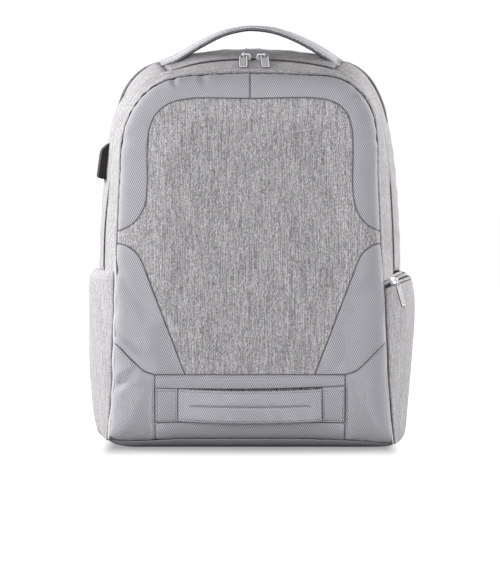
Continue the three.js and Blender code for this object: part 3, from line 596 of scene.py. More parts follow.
# Geometry Nodes: stitches and zip teeth that follow lines
def lineTree(name, sizes, build):
    tree = bpy.data.node_groups.new(name, "GeometryNodeTree")
    tree.interface.new_socket("Geometry", in_out="INPUT", socket_type="NodeSocketGeometry")
    for label in sizes:
        tree.interface.new_socket(label, in_out="INPUT", socket_type="NodeSocketFloat")
    tree.interface.new_socket("Finish", in_out="INPUT", socket_type="NodeSocketMaterial")
    tree.interface.new_socket("Geometry", in_out="OUTPUT", socket_type="NodeSocketGeometry")
    g = Graph(tree)
    given = tree.nodes.new("NodeGroupInput")
    size = {label: Value(g, given.outputs[label]) for label in sizes}

    def geo(kind, settings=None, inputs=None):
        return g.node(kind, settings, inputs, 0, "GeometryNode")

    curve = geo("MeshToCurve", {}, {"Mesh": Value(g, given.outputs["Geometry"])})
    spots = geo("ResampleCurve", {"mode": "LENGTH"}, {"Curve": curve, "Length": size["Pitch"]})
    turned = "AlignRotationToVector"
    along = g.node(turned, {"axis": "X"}, {"Vector": geo("InputTangent")}, 0, "FunctionNode")
    outward = geo("InputNamedAttribute", {"data_type": "FLOAT_VECTOR"}, {"Name": "outward"})
    facing = g.node(turned, {"axis": "Z", "pivot_axis": "X"},
                    {"Rotation": along, "Vector": outward}, 0, "FunctionNode")
    bead = geo("MeshUVSphere", {}, {"Segments": 6, "Rings": 5, "Radius": 1.0})
    shape = build(g, geo, size, bead)
    copies = geo("InstanceOnPoints", {}, {"Points": spots, "Instance": shape, "Rotation": facing})
    plain = geo("RealizeInstances", {}, {"Geometry": copies})
    painted = geo("SetMaterial", {}, {"Geometry": plain, "Material": Value(g, given.outputs["Finish"])})
    end = tree.nodes.new("NodeGroupOutput")
    g.feed(end.inputs["Geometry"], painted)
    return tree


def halfSizes(g, x, y, z):
    return g.node("CombineXYZ", {}, {"X": x, "Y": y, "Z": z})


def stitchShape(g, geo, size, bead):
    thick = size["Thickness"] * 0.5
    scale = halfSizes(g, size["Length"] * 0.5, thick, thick * 0.8)
    return geo("Transform", {}, {"Geometry": bead, "Scale": scale})


def toothShape(g, geo, size, bead):  # one loop of the coil on each side of the middle
    rows = []
    for side in (-1, 1):
        where = halfSizes(g, size["Pitch"] * 0.25 * side, size["Width"] * 0.2 * side, 0.0)
        scale = halfSizes(g, size["Pitch"] * 0.42, size["Width"] * 0.31, size["Thickness"] * 0.5)
        rows.append(geo("Transform", {}, {"Geometry": bead, "Translation": where, "Scale": scale}))
    node = g.tree.nodes.new("GeometryNodeJoinGeometry")
    for row in reversed(rows):
        g.feed(node.inputs[0], row)
    return Value(g, node.outputs[0])


stitchTree = lineTree("stitchRow", ("Pitch", "Length", "Thickness"), stitchShape)
toothTree = lineTree("toothRow", ("Pitch", "Width", "Thickness"), toothShape)


def growAlong(name, lines, tree, sizes, finish, slot):  # lines are lists of places and outward directions
    points = np.concatenate([toWorld(place) for place, _ in lines])
    outward = np.concatenate([np.asarray(out) * (1, -1, 1) for _, out in lines])
    edges, start = [], 0
    for place, _ in lines:
        edges += [(start + i, start + i + 1) for i in range(len(place) - 1)]
        start += len(place)
    mesh = bpy.data.meshes.new(name)
    mesh.from_pydata(points.tolist(), edges, [])
    mesh.attributes.new("outward", "FLOAT_VECTOR", "POINT").data.foreach_set("vector", outward.ravel())
    obj, material = newObject(name, mesh), finishes[finish]
    modifier = obj.modifiers.new("grow", "NODES")
    modifier.node_group = tree
    for item in tree.interface.items_tree:
        if item.in_out == "INPUT" and item.name in sizes:
            modifier[item.identifier] = float(sizes[item.name] * mm)
        elif item.in_out == "INPUT" and item.name == "Finish":
            modifier[item.identifier] = material
    graph = bpy.context.evaluated_depsgraph_get()
    grown = bpy.data.meshes.new_from_object(obj.evaluated_get(graph), depsgraph=graph)
    obj.modifiers.clear()
    obj.data = grown
    grown.shade_smooth()
    return settle(obj, material, slot)


# The front and the back are domed faces on the arch's outline
class DomedFace:
    def __init__(self, depth, crown, rim, out, footRound):
        steps = np.linspace(0, archEnd, 1201)
        arch = np.stack(archAt(float(depth), steps), -1)
        foot = np.stack([np.linspace(arch[-1, 0], arch[0, 0], 400)[1:-1], np.full(398, pack["foot"])], -1)
        loop = np.concatenate([arch, foot])
        for corner in (arch[0], arch[-1]):  # the feet are rounded off
            away = np.linalg.norm(loop - corner, axis=1)
            t = np.clip(away / footRound, 0, 1)
            inwards = unit(np.array([-np.sign(corner[0]), 1.0]))
            loop = loop + ((1 - t) ** 2 * 0.29 * footRound)[:, None] * inwards
        plan = loop - (0, pack["middle"])
        angle = np.arctan2(plan[:, 1], plan[:, 0])
        order = np.argsort(angle)
        angle, reach = angle[order], np.hypot(*plan[order].T)
        self.angle = np.concatenate([angle[-1:] - turn, angle, angle[:1] + turn])
        self.reach = np.concatenate([reach[-1:], reach, reach[:1]])
        self.depth, self.crown, self.rim, self.out = depth, crown, rim, out
        swing = np.linspace(0, np.pi / 2, 600)
        typical = 150
        self.share = np.sin(swing) ** (2 / pack["crownPower"])
        run = np.hypot(np.diff(self.share) * typical, np.diff(np.cos(swing)) * crown) / typical
        self.flat = np.concatenate([[0], np.cumsum(run)])

    def radius(self, p):
        return np.interp(np.arctan2(p[..., 1], p[..., 0]), self.angle, self.reach)

    def flatten(self, plan):  # across and height to the flat cut, measured from the middle
        p = np.asarray(plan, float) - (0, pack["middle"])
        share = np.linalg.norm(p, axis=-1) / self.radius(p)
        return p * (np.interp(share, self.share, self.flat) / np.maximum(share, 1e-9))[..., None]

    def point(self, p):
        flat = np.linalg.norm(p, axis=-1) / self.radius(p)
        share = np.interp(flat, self.flat, self.share)
        scale = share / np.maximum(flat, 1e-9)
        dome = np.sqrt(np.maximum(0, 1 - share ** pack["crownPower"]))
        depth = self.depth + self.out * (self.rim + self.crown * dome)
        return np.stack([p[..., 0] * scale, depth, pack["middle"] + p[..., 1] * scale], -1)

    def outward(self, p):
        ways = np.array([(0.25, 0), (0, 0.25)])
        return unit(np.cross(*(self.point(p + way) - self.point(p - way) for way in ways))) * -self.out

    def rimLine(self, start, end):  # along the seam between two plan points, the short way
        a0, a1 = (math.atan2(y - pack["middle"], x) for x, y in (start, end))
        a1 += turn * round((a0 - a1) / turn)
        angle = np.linspace(a0, a1, 600)
        reach = np.interp((angle + np.pi) % turn - np.pi, self.angle, self.reach)
        return evenLine(np.stack([reach * np.cos(angle), pack["middle"] + reach * np.sin(angle)], -1), 2.0)

    def cutAt(self, line):  # a seam's points up to the rim
        p = line - (0, pack["middle"])
        share = np.linalg.norm(p, axis=-1) / self.radius(p)
        kept = line[share < 1]
        first = share[0] >= 1
        i = int(np.argmax(share < 1)) if first else int(np.argmax(share >= 1))
        a, b = (line[i], line[i - 1]) if first else (line[i - 1], line[i])
        sa, sb = (share[i], share[i - 1]) if first else (share[i - 1], share[i])
        edge = a + (b - a) * (1 - sa) / (sb - sa)
        return np.concatenate([[edge], kept]) if first else np.concatenate([kept, [edge]])


frontFace = DomedFace(pack["front"], 20, 0, 1, 9)
backFace = DomedFace(pack["back"], 12, 2, -1, 9)

# How each seam pulls the cloth in: how deep, and how far from the seam that reaches
seamPull = dict(
    panel=(1.0, 1.7), wedge=(1.2, 1.9), corner=(1.2, 1.9), lowerTop=(1.1, 1.7), lowerSide=(1.0, 1.6),
    top=(1.1, 1.9), outer=(1.0, 2.2), bottom=(1.6, 3.0), strip=(1.0, 1.6),
)
clothWall = dict(gap=0.2, thickness=2.6, stitchIn=2.7, stitchSink=0.35, pucker=0.22, puckerReach=6.0,
                 puffReach=16, edgeRows=(0.5, 1.2, 2.1, 3.2), least=4.3)


class ClothPatch:
    def __init__(self, face, chains, look):
        self.face, self.look = face, look
        step = look.get("edge", 2.0)
        self.chains = [(tag, evenLine(face.flatten(evenLine(line, 1.0)), step)) for tag, line in chains]
        loop = np.concatenate([line[:-1] for _, line in self.chains])
        around = np.roll(loop, -1, axis=0) - np.roll(loop, 1, axis=0)
        inwards = unit(np.stack([-around[:, 1], around[:, 0]], -1))
        area = (loop[:, 0] * np.roll(loop[:, 1], -1) - np.roll(loop[:, 0], -1) * loop[:, 1]).sum()
        self.inwards = inwards * np.sign(area)
        self.loop = loop + self.inwards * clothWall["gap"]
        self.dents = [(face.flatten([a, b]), deep, wide) for a, b, deep, wide in look.get("dents", ())]

    def surface(self, p):
        look, cloth = self.look, clothWall
        height, mark, sunk = np.zeros((3, len(p)))
        closest = np.full(len(p), 1e9)
        for tag, line in self.chains:
            gap, along = nearest(p, line)
            depth, width = seamPull[tag]
            sunk = np.maximum(sunk, depth * rolled(gap, width))
            # painted seam shade: the colour darkens within about a millimetre of every seam
            mark = np.maximum(mark, bump(gap, 0.75))
            closest = np.minimum(closest, gap)
            if tag in look.get("stitched", ()):
                height -= cloth["stitchSink"] * bump(gap - cloth["stitchIn"], 0.8)
            wave = ripple(along, look["seed"], 11) + 0.6 * ripple(along, look["seed"] + 7, 5)
            height += look.get("pucker", cloth["pucker"]) * wave * np.exp(-gap / cloth["puckerReach"])
        height += look["puff"] * (1 - np.exp(-closest / cloth["puffReach"])) - sunk
        for line, deep, wide in self.dents:
            gap, along = nearest(p, line)
            share = along / np.linalg.norm(line[1] - line[0])
            taper = np.sin(np.pi * np.clip(0.06 + 0.88 * share, 0, 1)) ** 0.6
            height -= deep * taper * (bump(gap, wide) - 0.45 * bump(gap - 2 * wide, wide))
        if look.get("uneven"):
            height += look["uneven"] * ripple(p[:, 0] + 0.6 * p[:, 1], look["seed"] + 3, 70, 4)
        out = self.face.outward(p)
        return self.face.point(p) + out * height[:, None], out, mark

    def mesh(self):
        gap, rows = self.look.get("spacing", 2.6), clothWall["edgeRows"]
        low, high = self.loop.min(0), self.loop.max(0)
        xs, ys = np.arange(low[0], high[0], gap), np.arange(low[1], high[1], gap * 0.866)
        field = np.stack(np.meshgrid(xs, ys), -1)
        field[1::2, :, 0] += gap / 2
        points = np.concatenate([field.reshape(-1, 2)] + [self.loop + self.inwards * d for d in rows])
        least = np.repeat([clothWall["least"]] + [0.86 * d for d in rows],
                          [field[..., 0].size] + [len(self.loop)] * len(rows))
        points, least = (v[inside(points, self.loop)] for v in (points, least))
        points = points[nearest(points, self.loop, True)[0] > least]
        flat = np.concatenate([self.loop, points])
        verts, _, faces, *_ = delaunay_2d_cdt(
            [Vector(v) for v in flat.tolist()], [], [list(range(len(self.loop)))], 1, 1e-5)
        flat = np.array([tuple(v) for v in verts])
        faces = np.array(faces)
        place, out, mark = self.surface(flat)
        inner = self.face.point(flat) - out * clothWall["thickness"]
        edges = np.concatenate([faces[:, [0, 1]], faces[:, [1, 2]], faces[:, [2, 0]]])
        _, where, count = np.unique(np.sort(edges, 1), axis=0, return_index=True, return_counts=True)
        rim = edges[where[count == 1]]
        size = len(flat)
        walls = np.stack([rim[:, 1], rim[:, 0], rim[:, 0] + size, rim[:, 1] + size], -1)
        body = faces.tolist() + (faces[:, ::-1] + size).tolist() + walls.tolist()
        uv = np.concatenate([flat, flat]) * mm * (self.look.get("mirror", 1), 1)
        return np.concatenate([place, inner]), body, uv, np.concatenate([mark, mark])

    def stitchLines(self):  # rows beside the stitched seams of this piece
        distance = clothWall["stitchIn"]
        lines = []
        for tag, line in self.chains:
            if tag in self.look.get("stitched", ()):
                d = unit(np.gradient(line, axis=0))
                side = np.stack([-d[:, 1], d[:, 0]], -1)
                middle = line[len(line) // 2] + side[len(line) // 2] * distance
                side = side if inside(middle[None], self.loop)[0] else -side
                row = line + side * distance
                row = row[inside(row, self.loop) & (nearest(row, self.loop, True)[0] > 0.8 * distance)]
                if len(row) > 2:
                    place, out, _ = self.surface(evenLine(row, 1.5))
                    lines.append((place - 0.05 * out, out))
        return lines


# Front seams, right half, across and up
seams = dict(
    panel=[(0, 377), (68, 377), (88, 372), (101, 361), (108, 344), (110, 322), (110, 282), (113, 262),
           (121, 248), (131, 240), (160, 229)],
    wedge=[(160, 219), (139, 221), (130, 217.5), (121.5, 211), (115, 200), (111.5, 191), (97, 153),
           (69.5, 81)],
    corner=[(160, 124), (146, 112.5), (125, 93.5), (114, 85), (102.3, 81)],
)
lowerPanel = dict(half=102.3, top=81, upper=67.8, lower=29.4, sag=2.2, lean=1.2, leanOut=4)

panelLine, wedgeLine, cornerLine = (frontFace.cutAt(smoothLine(line, 2)) for line in seams.values())
half, topZ = lowerPanel["half"], lowerPanel["top"]
panelTop, wedgeFoot = np.array(seams["panel"][0], float), wedgeLine[-1]
crest = np.array([0.0, float(archAt(pack["front"], archTop)[1])])
soleCorner = (outline["base"][0], pack["foot"])
sideFoot = frontFace.rimLine(cornerLine[0], soleCorner)
innerFoot = (half, pack["foot"])


def straight(*points):
    return np.array(points, float)


def mirrored(chains):
    return [(tag, line[::-1] * (-1, 1)) for tag, line in reversed(chains)]


def seamOver(x):  # the seam over the carry handle sags and leans with the cloth
    return lowerPanel["upper"] - lowerPanel["sag"] * (1 - (x / half) ** 2) + lowerPanel["lean"] * x / half


def levelSeam(z):  # a seam from left to right
    x = np.linspace(-half, half, 60)
    return np.stack([x, seamOver(x) if z == lowerPanel["upper"] else z + 0 * x], -1)


def rectangle(z0, z1, low, high):
    foot, top = levelSeam(z0), levelSeam(z1)
    return [(low, foot), ("lowerSide", straight(foot[-1], top[-1])),
            (high, top[::-1]), ("lowerSide", straight(top[0], foot[0]))]


rightHalf = [("panel", panelLine), ("outer", frontFace.rimLine(panelLine[-1], wedgeLine[0])),
             ("wedge", wedgeLine)]
frontCut = dict(
    centre_panel=rightHalf + [("lowerTop", straight(wedgeFoot, wedgeFoot * (-1, 1)))] + mirrored(rightHalf),
    trim_right=[("top", straight(panelTop, crest)), ("outer", frontFace.rimLine(crest, panelLine[-1])),
                ("panel", panelLine[::-1])],
    wedge_right=[("outer", frontFace.rimLine(wedgeLine[0], cornerLine[0])), ("corner", cornerLine),
                 ("lowerTop", straight((half, topZ), wedgeFoot)), ("wedge", wedgeLine[::-1])],
    corner_right=[("outer", sideFoot), ("bottom", frontFace.rimLine(sideFoot[-1], innerFoot)),
                  ("lowerSide", straight(innerFoot, (half, topZ))), ("corner", cornerLine[::-1])],
)
for name in ("trim", "wedge", "corner"):
    frontCut[name + "_left"] = mirrored(frontCut[name + "_right"])

# Soft dents and pulls in the cloth: from, to, how deep and how wide
dentRows = dict(
    wedge_left=[((-147, 197), (-104, 146), 3.8, 7), ((-147, 123), (-113, 90), 3.2, 6.5)],
    wedge_right=[((143, 190), (124, 166), 1.8, 8), ((99, 97), (92, 84), 1.3, 4)],
    corner_left=[((-149, 66), (-122, 86), 2.4, 4.5), ((-149, 47), (-134, 33), 1.2, 4.5)],
    trim_left=[((-84, 402), (-80, 390), 1.6, 3), ((-52, 403), (-48, 389), 1.5, 4),
               ((-138, 330), (-121, 336), 1.1, 7)],
    trim_right=[((112, 382), (100, 366), 1.5, 4.5), ((137, 333), (129, 331), 1.3, 4),
                ((137, 307), (129, 304), 1.3, 4)],
)
frontLooks = dict(
    centre_panel=dict(finish="melange", seed=11, puff=1.0, pucker=0.12),
    trim=dict(finish="weave", seed=21, puff=1.0, uneven=0.12),
    wedge=dict(finish="weave", seed=31, puff=1.3, uneven=0.2),
    corner=dict(finish="weave", seed=41, puff=1.2, uneven=0.18, stitched=("corner", "lowerSide", "bottom")),
)
frontStitches = []
for name, chains in frontCut.items():
    kind = name if name == "centre_panel" else name.split("_")[0]
    right = name.endswith("right")
    look = dict(frontLooks[kind], mirror=-1 if right else 1, dents=dentRows.get(name, ()))
    look["seed"] += 5 * right
    patch = ClothPatch(frontFace, chains, look)
    sewPatch(patch.mesh(), name + "_cloth", look["finish"], look["finish"], [name])
    frontStitches += patch.stitchLines()

# The lower panel is three strips, one under the handle, one behind it and one above it; the one behind it is
# a dark copy of the melange, painted shade under the handle
levels = [pack["foot"], lowerPanel["lower"], lowerPanel["upper"], lowerPanel["top"]]
levelTags = ["bottom", "strip", "strip", "lowerTop"]
strips = []
for i, stitched in enumerate((("bottom",), (), ("lowerTop",))):
    look = dict(seed=51 + i, puff=0.9, uneven=0.1, stitched=stitched, pucker=0.16)
    patch = ClothPatch(frontFace, rectangle(levels[i], levels[i + 1], levelTags[i], levelTags[i + 1]), look)
    strips.append(patch.mesh())
    frontStitches += patch.stitchLines()
under, behind, above = strips
verts = under[0]  # the lowest strip leans out under the handle
leaning = ramp(verts[:, 2], levels[0], levels[1] - levels[0]) * (1 - (verts[:, 0] / half) ** 4)
verts[:, 1] += lowerPanel["leanOut"] * leaning
# painted shade: the strip behind the handle is cut in the dark melange
sewPatch(behind, "lower_panel_recess", "recess", "weave", ())
# the strips' painted seam shade goes with them
uv, mark = (np.concatenate([under[k], above[k]]) for k in (2, 3))
sew("lower_panel_cloth", merged(under[:2], above[:2]), uv, "weave", "weave", ["lower_panel"], mark)
print("front cut and sewn")


# Gusset: strips of cloth and zip that run over the arch from foot to foot
zips = dict(mainDepth=108, laptopDepth=42, half=4, endHeight=195, gap=0.4, closing=32, closedLeft=(266, 70),
            closedRight=(278, 98), closed=0.96, closedReach=8)
gusset = dict(cloth=2.8, lip=1.3, arcGap=3.0, over=1.3, overLaptop=0.6, crossSeam=103, footLeft=178,
              footRight=190, turnedIn=1.06)
# the last entry sets how far the painted seam shade reaches from a band's lips and ends
bandCloth = dict(endReach=2.6, sewn=0.5, sewnWidth=0.8, wander=120, uneven=26, mark=0.9)
drawnBack = dict(most=11, depth=104, reach=24, below=300, fade=70)  # the main zip low on the left
zipStart = stepAtHeight(zips["mainDepth"], zips["endHeight"])
crossStep = stepAcross(midDepth, gusset["crossSeam"])


def edgeSamples(width, middle=3.0):  # close together at both edges, even between them
    close = [0, 0.4, 0.9, 1.6, 2.5, 3.6]
    inner = np.linspace(5, width - 5, max(2, int((width - 10) / middle) + 1))
    return np.concatenate([close, inner, width - np.array(close[::-1])])


def eased(share):
    share = np.clip(share, 0, 1)
    return share * share * (3 - 2 * share)


def closedOver(along):  # how far the cloth closes over the main zip round the shoulders
    run, depth, fade = walkedTo(along), zips["mainDepth"], zips["closing"]
    total = 0
    for at, (low, across) in ((run, zips["closedLeft"]), (walked[-1] - run, zips["closedRight"])):
        start, end = walkedTo([stepAtHeight(depth, low), stepAcross(depth, across)])
        total = total + eased((at - start) / fade) * eased((end - at) / fade)
    return total


def lowLeft(along):
    return eased((drawnBack["below"] - archAt(midDepth, along)[1]) / drawnBack["fade"]) * (along < archTop)


def besideZip(depth, along):  # low on the left side the main zip runs further back
    off = depth - zips["mainDepth"]
    shut = zips["closed"] * closedOver(along) * bump(off, zips["closedReach"])
    depth = zips["mainDepth"] + off * (1 - shut)
    return depth - drawnBack["most"] * lowLeft(along) * bump(depth - drawnBack["depth"], drawnBack["reach"])


def bandPiece(name, depths, steps, finish, slot, nodes, look):
    d0, d1 = depths
    width, soft = d1 - d0, look.get("soft", True)
    across = edgeSamples(width) if soft else np.linspace(0, width, 5)
    along = stepsEvery(gusset["arcGap"], *steps)
    base = archPoints(besideZip(d0 + across[None, :], along[:, None]), along[:, None])
    out = normalsOf(base, base - core)
    run = walkedTo(along)[:, None]
    start, end = walkedTo(steps)
    near, far = across[None, :], width - across[None, :]
    endGap = np.minimum(run - start, end - run)
    shut = 2 * closedOver(along)[:, None]  # lips that meet over the zip are not turned down
    lips = [near + shut * (d0 == mainLips[1]), far + shut * (d1 == mainLips[0])]
    swell = np.sin(np.pi * np.clip(across / width, 0, 1))[None, :]
    height = np.full(base.shape[:2], float(look["lift"]))
    for lip, (deep, wide) in zip(lips, look["pull"]):
        height -= deep * rolled(lip, wide)
    if look.get("endPull"):
        height -= look["endPull"] * rolled(endGap, bandCloth["endReach"])
    sewn = bump(near - look.get("sewn", -9), bandCloth["sewnWidth"]) + 0 * run
    height += look.get("puff", 0) * swell - bandCloth["sewn"] * sewn
    for fold in look.get("folds", ()):
        wander = fold.get("wander", 1.5) * ripple(run, fold["seed"], bandCloth["wander"], 3)
        ridge = bump(near - fold["depth"] + d0 - wander, fold["wide"])
        height += fold["high"] * bump(run - fold["run"], fold["long"]) * ridge
    wave = ripple(run + 0.3 * near, look.get("seed", 1), bandCloth["uneven"], 4)
    height += look.get("uneven", 0) * wave * swell
    edge = np.minimum(near, far) + 0 * run
    thick = look.get("thick", gusset["cloth"])
    if soft:
        thick = gusset["lip"] + (thick - gusset["lip"]) * ramp(edge, 1, 4)
    outer = base + out * height[..., None]
    inner = outer - out * np.broadcast_to(thick, edge.shape)[..., None]
    ends = endGap + (0 if look.get("endPull") else 9)
    # painted seam shade: the colour darkens along the turned-down lips, the band ends and the sewn line
    mark = np.maximum(bump(np.minimum(np.minimum(*lips), ends), bandCloth["mark"]), bandCloth["sewn"] * sewn)
    return sewShell(name, outer, inner, flatMap(near, run), finish, slot, nodes, mark.reshape(-1))


def bandLine(depth, steps, lift, gap):  # a row along the arch, with its outward directions
    along = stepsEvery(gap, *steps)
    beside = depth + np.array([-1.0, 0, 1])[None, :]
    rows = archPoints(besideZip(beside, along[:, None]), along[:, None])
    out = normalsOf(rows, rows - core)[:, 1]
    return rows[:, 1] + out * np.reshape(lift, (-1, 1)), out


mainBack, mainFront = (zips["mainDepth"] + k * zips["half"] for k in (-1, 1))
laptopBack, laptopFront = (zips["laptopDepth"] + k * zips["half"] for k in (-1, 1))
mainLips = (mainBack + gusset["over"], mainFront - gusset["over"] + 0.2)
wholeArch, zipArch = (0, archEnd), (zipStart, archEnd - zipStart)
archLength = walked[-1]
topRun, leftCorner, rightCorner = archLength / 2, 395, archLength - 395
frontFolds = [
    dict(run=topRun, long=190, depth=141, wide=2.2, high=2.0, seed=61, wander=0.5),
    dict(run=leftCorner, long=90, depth=124, wide=3.2, high=1.7, seed=62),
    dict(run=rightCorner, long=90, depth=128, wide=3.4, high=1.8, seed=63),
    dict(run=topRun - 110, long=70, depth=120, wide=2.6, high=1.4, seed=64),
    dict(run=topRun + 120, long=60, depth=132, wide=2.6, high=1.4, seed=65),
]
middleDepths = (laptopFront - gusset["overLaptop"], mainLips[0])
middleLook = dict(pull=((0.7, 1.6), (0.7, 1.6)), lift=0.45, puff=1.1, uneven=0.3, endPull=1.2)
bandLooks = [
    ("front_gusset", (mainLips[1], pack["front"] - 2.9), wholeArch,
     dict(pull=((0.7, 1.6), (2.0, 3.0)), lift=0.45, puff=1.0, uneven=0.3, seed=71, sewn=3.6,
          folds=frontFolds)),
    ("rear_gusset", (pack["back"] + zips["gap"], laptopBack + gusset["overLaptop"]), wholeArch,
     dict(pull=((2.0, 3.0), (0.7, 1.6)), lift=0.35, puff=1.2, uneven=0.35, seed=72)),
]
seamGap = 0.02
leftFoot, rightFoot = (stepAtHeight(midDepth, gusset[k]) for k in ("footLeft", "footRight"))
for name, steps in (
    ("gusset_left", (leftFoot, crossStep - seamGap)),
    ("gusset_top", (crossStep + seamGap, archEnd - crossStep - seamGap)),
    ("gusset_right", (archEnd - crossStep + seamGap, archEnd - rightFoot)),
):
    bandLooks.append((name, middleDepths, steps, dict(middleLook, seed=73 + len(bandLooks))))
for name, depths, steps, look in bandLooks:
    obj = bandPiece(name + "_cloth", depths, steps, "side", "gusset", [name], look)
    wide, long = (depths[1] - depths[0]) * gusset["turnedIn"], np.ptp(walkedTo(steps))
    wide * mm
    long * mm

for name, depths in (("main_zip", (mainBack, mainFront)), ("laptop_zip", (laptopBack, laptopFront))):
    look = dict(soft=False, lift=-1.9, thick=0.8, pull=((0, 1), (0, 1)))
    bandPiece(name + "_tape", depths, zipArch, "tape", "zip", [name], look)
    along = stepsEvery(2.0, *zipArch)
    sunk = (2.2 * closedOver(along) - 1.0 * lowLeft(along)) * (name == "main_zip")
    teeth = [bandLine(sum(depths) / 2, zipArch, -0.55 - sunk, 2.0)]
    growAlong(name + "_coil", teeth, toothTree, dict(Pitch=1.5, Width=4.6, Thickness=1.9), "coil", "zip")
print("gusset and zips in place")


# Walls behind the side pockets
sideWall = dict(tuck=9.0, cloth=2.6, seam=1.5, start=0.02, below=0.06)
for name, side in (("side_panel_left", -1), ("side_panel_right", 1)):
    steps = np.linspace(sideWall["start"], zipStart - sideWall["below"], 40)
    depths = np.linspace(laptopBack, mainFront, 20)[None, :]
    base = archPoints(depths, (steps if side < 0 else archEnd - steps)[:, None])
    out = normalsOf(base, base - core)
    tuck = sideWall["seam"] + sideWall["tuck"] * np.minimum(1, steps)
    outer = base - out * tuck[:, None, None]
    inner = outer - out * sideWall["cloth"]
    uv = flatMap(depths, base[..., 2])
    sewShell(name + "_cloth", outer, inner, uv, "side", "gusset", [name])

# A dark cord laid in the front seam above the pockets, thicker round the corners: painted shade for the deep
# gap of the seam
seamShadowCord = dict(fromHeight=206, depth=147.7, thin=0.85, thick=1.8, inwards=0.7, wave=0.3)
start = stepAtHeight(pack["front"], seamShadowCord["fromHeight"])
steps = stepsEvery(1.5, start, archEnd - start)
cord = archPoints(seamShadowCord["depth"], steps)
out = unit((cord - (0, 0, pack["middle"])) * (1, 0, 1))
run = walkedTo(steps)
wave = ripple(run, 81, 13) * (0.4 + bump(run - leftCorner, 70) + bump(run - rightCorner, 70))
cord = cord - out * seamShadowCord["inwards"] + out * (seamShadowCord["wave"] * wave)[:, None]
corners = np.maximum(bump(run - leftCorner, 80), bump(run - rightCorner, 80))
thick = seamShadowCord["thin"] + (seamShadowCord["thick"] - seamShadowCord["thin"]) * corners
sew("front_piping", tubeAlong(cord, thick, 8), cord[:, :2].repeat(8, 0) * mm, "binding", "dark")

# Below it a thin near-white tube lies along the seam beside each pocket: a painted highlight where the
# rolled edge catches light
pocketEdge = dict(low=9.5, depth=147.4, taper=26, wave=0.35)
pocketEdgeSides = [(-1, 1.25, 0.8), (1, 0.7, 0.3)]  # side, half thickness and how far out
low, high = (stepAtHeight(pack["front"], z) for z in (pocketEdge["low"], seamShadowCord["fromHeight"] + 2))
steps = stepsEvery(2.0, low, high)
edges = []
for side, thick, off in pocketEdgeSides:
    line = archPoints(pocketEdge["depth"], steps if side < 0 else archEnd - steps)
    line[:, 0] += side * (off + pocketEdge["wave"] * ripple(np.arange(len(line)) * 2.0, 85 + side, 40))
    taper = np.clip((line[-1, 2] - line[:, 2]) / pocketEdge["taper"] + 0.25, 0, 1)
    edges.append(tubeAlong(line, thick * taper, 8))
body = merged(*edges)
sew("pocket_edges", body, body[0][:, [0, 2]] * mm, "edge", "gusset")


# Side pockets
pocket = dict(front=146.5, back=3, foot=8, fullness=0.7, cloth=2.2, clear=0.4)
pocketRows = {
    -1: dict(height=(8, 9.5, 12, 18, 26, 44, 81, 123, 160, 175, 182.5, 188, 191.5),
             bulge=(4.2, 8.2, 11.2, 13.2, 14.2, 14.6, 13.8, 11.9, 11.4, 11, 9, 5.6, 1.6)),
    1: dict(height=(8, 9.5, 12, 18, 28, 44, 95, 140, 160, 172, 179),
            bulge=(6.5, 11, 13.2, 14.8, 15.4, 15.3, 14.8, 15.2, 14.8, 13.2, 11.5)),
}
# The right mouth falls to the front, the left one to the back
pocketDrop = dict(start=85, most=7, rear=7, rearReach=60)


def pocketArc(depth):
    share = ramp(depth, pocket["back"], pocket["front"] - pocket["back"])
    return np.sin(np.pi * share) ** pocket["fullness"]


def dropAt(depth):
    share = np.maximum(0, depth - pocketDrop["start"]) / (pocket["front"] - pocketDrop["start"])
    return pocketDrop["most"] * share**2


def pocketGrid(side, depths, heights):  # places on the pocket's outside
    rows = pocketRows[side]
    bulge = through(rows["height"], rows["bulge"], heights)
    wall = np.stack([wallAt(d, heights) for d in depths])
    x = wall + pocket["clear"] + bulge[None, :] * pocketArc(depths)[:, None] + pocket["cloth"]
    fall = dropAt(depths)
    if side < 0:
        fall = pocketDrop["rear"] * ramp(-depths, -midDepth, pocketDrop["rearReach"])
    drop = fall[:, None] * heights[None, :] / rows["height"][-1]
    return joined(side * x, depths[:, None], heights[None, :] - drop)


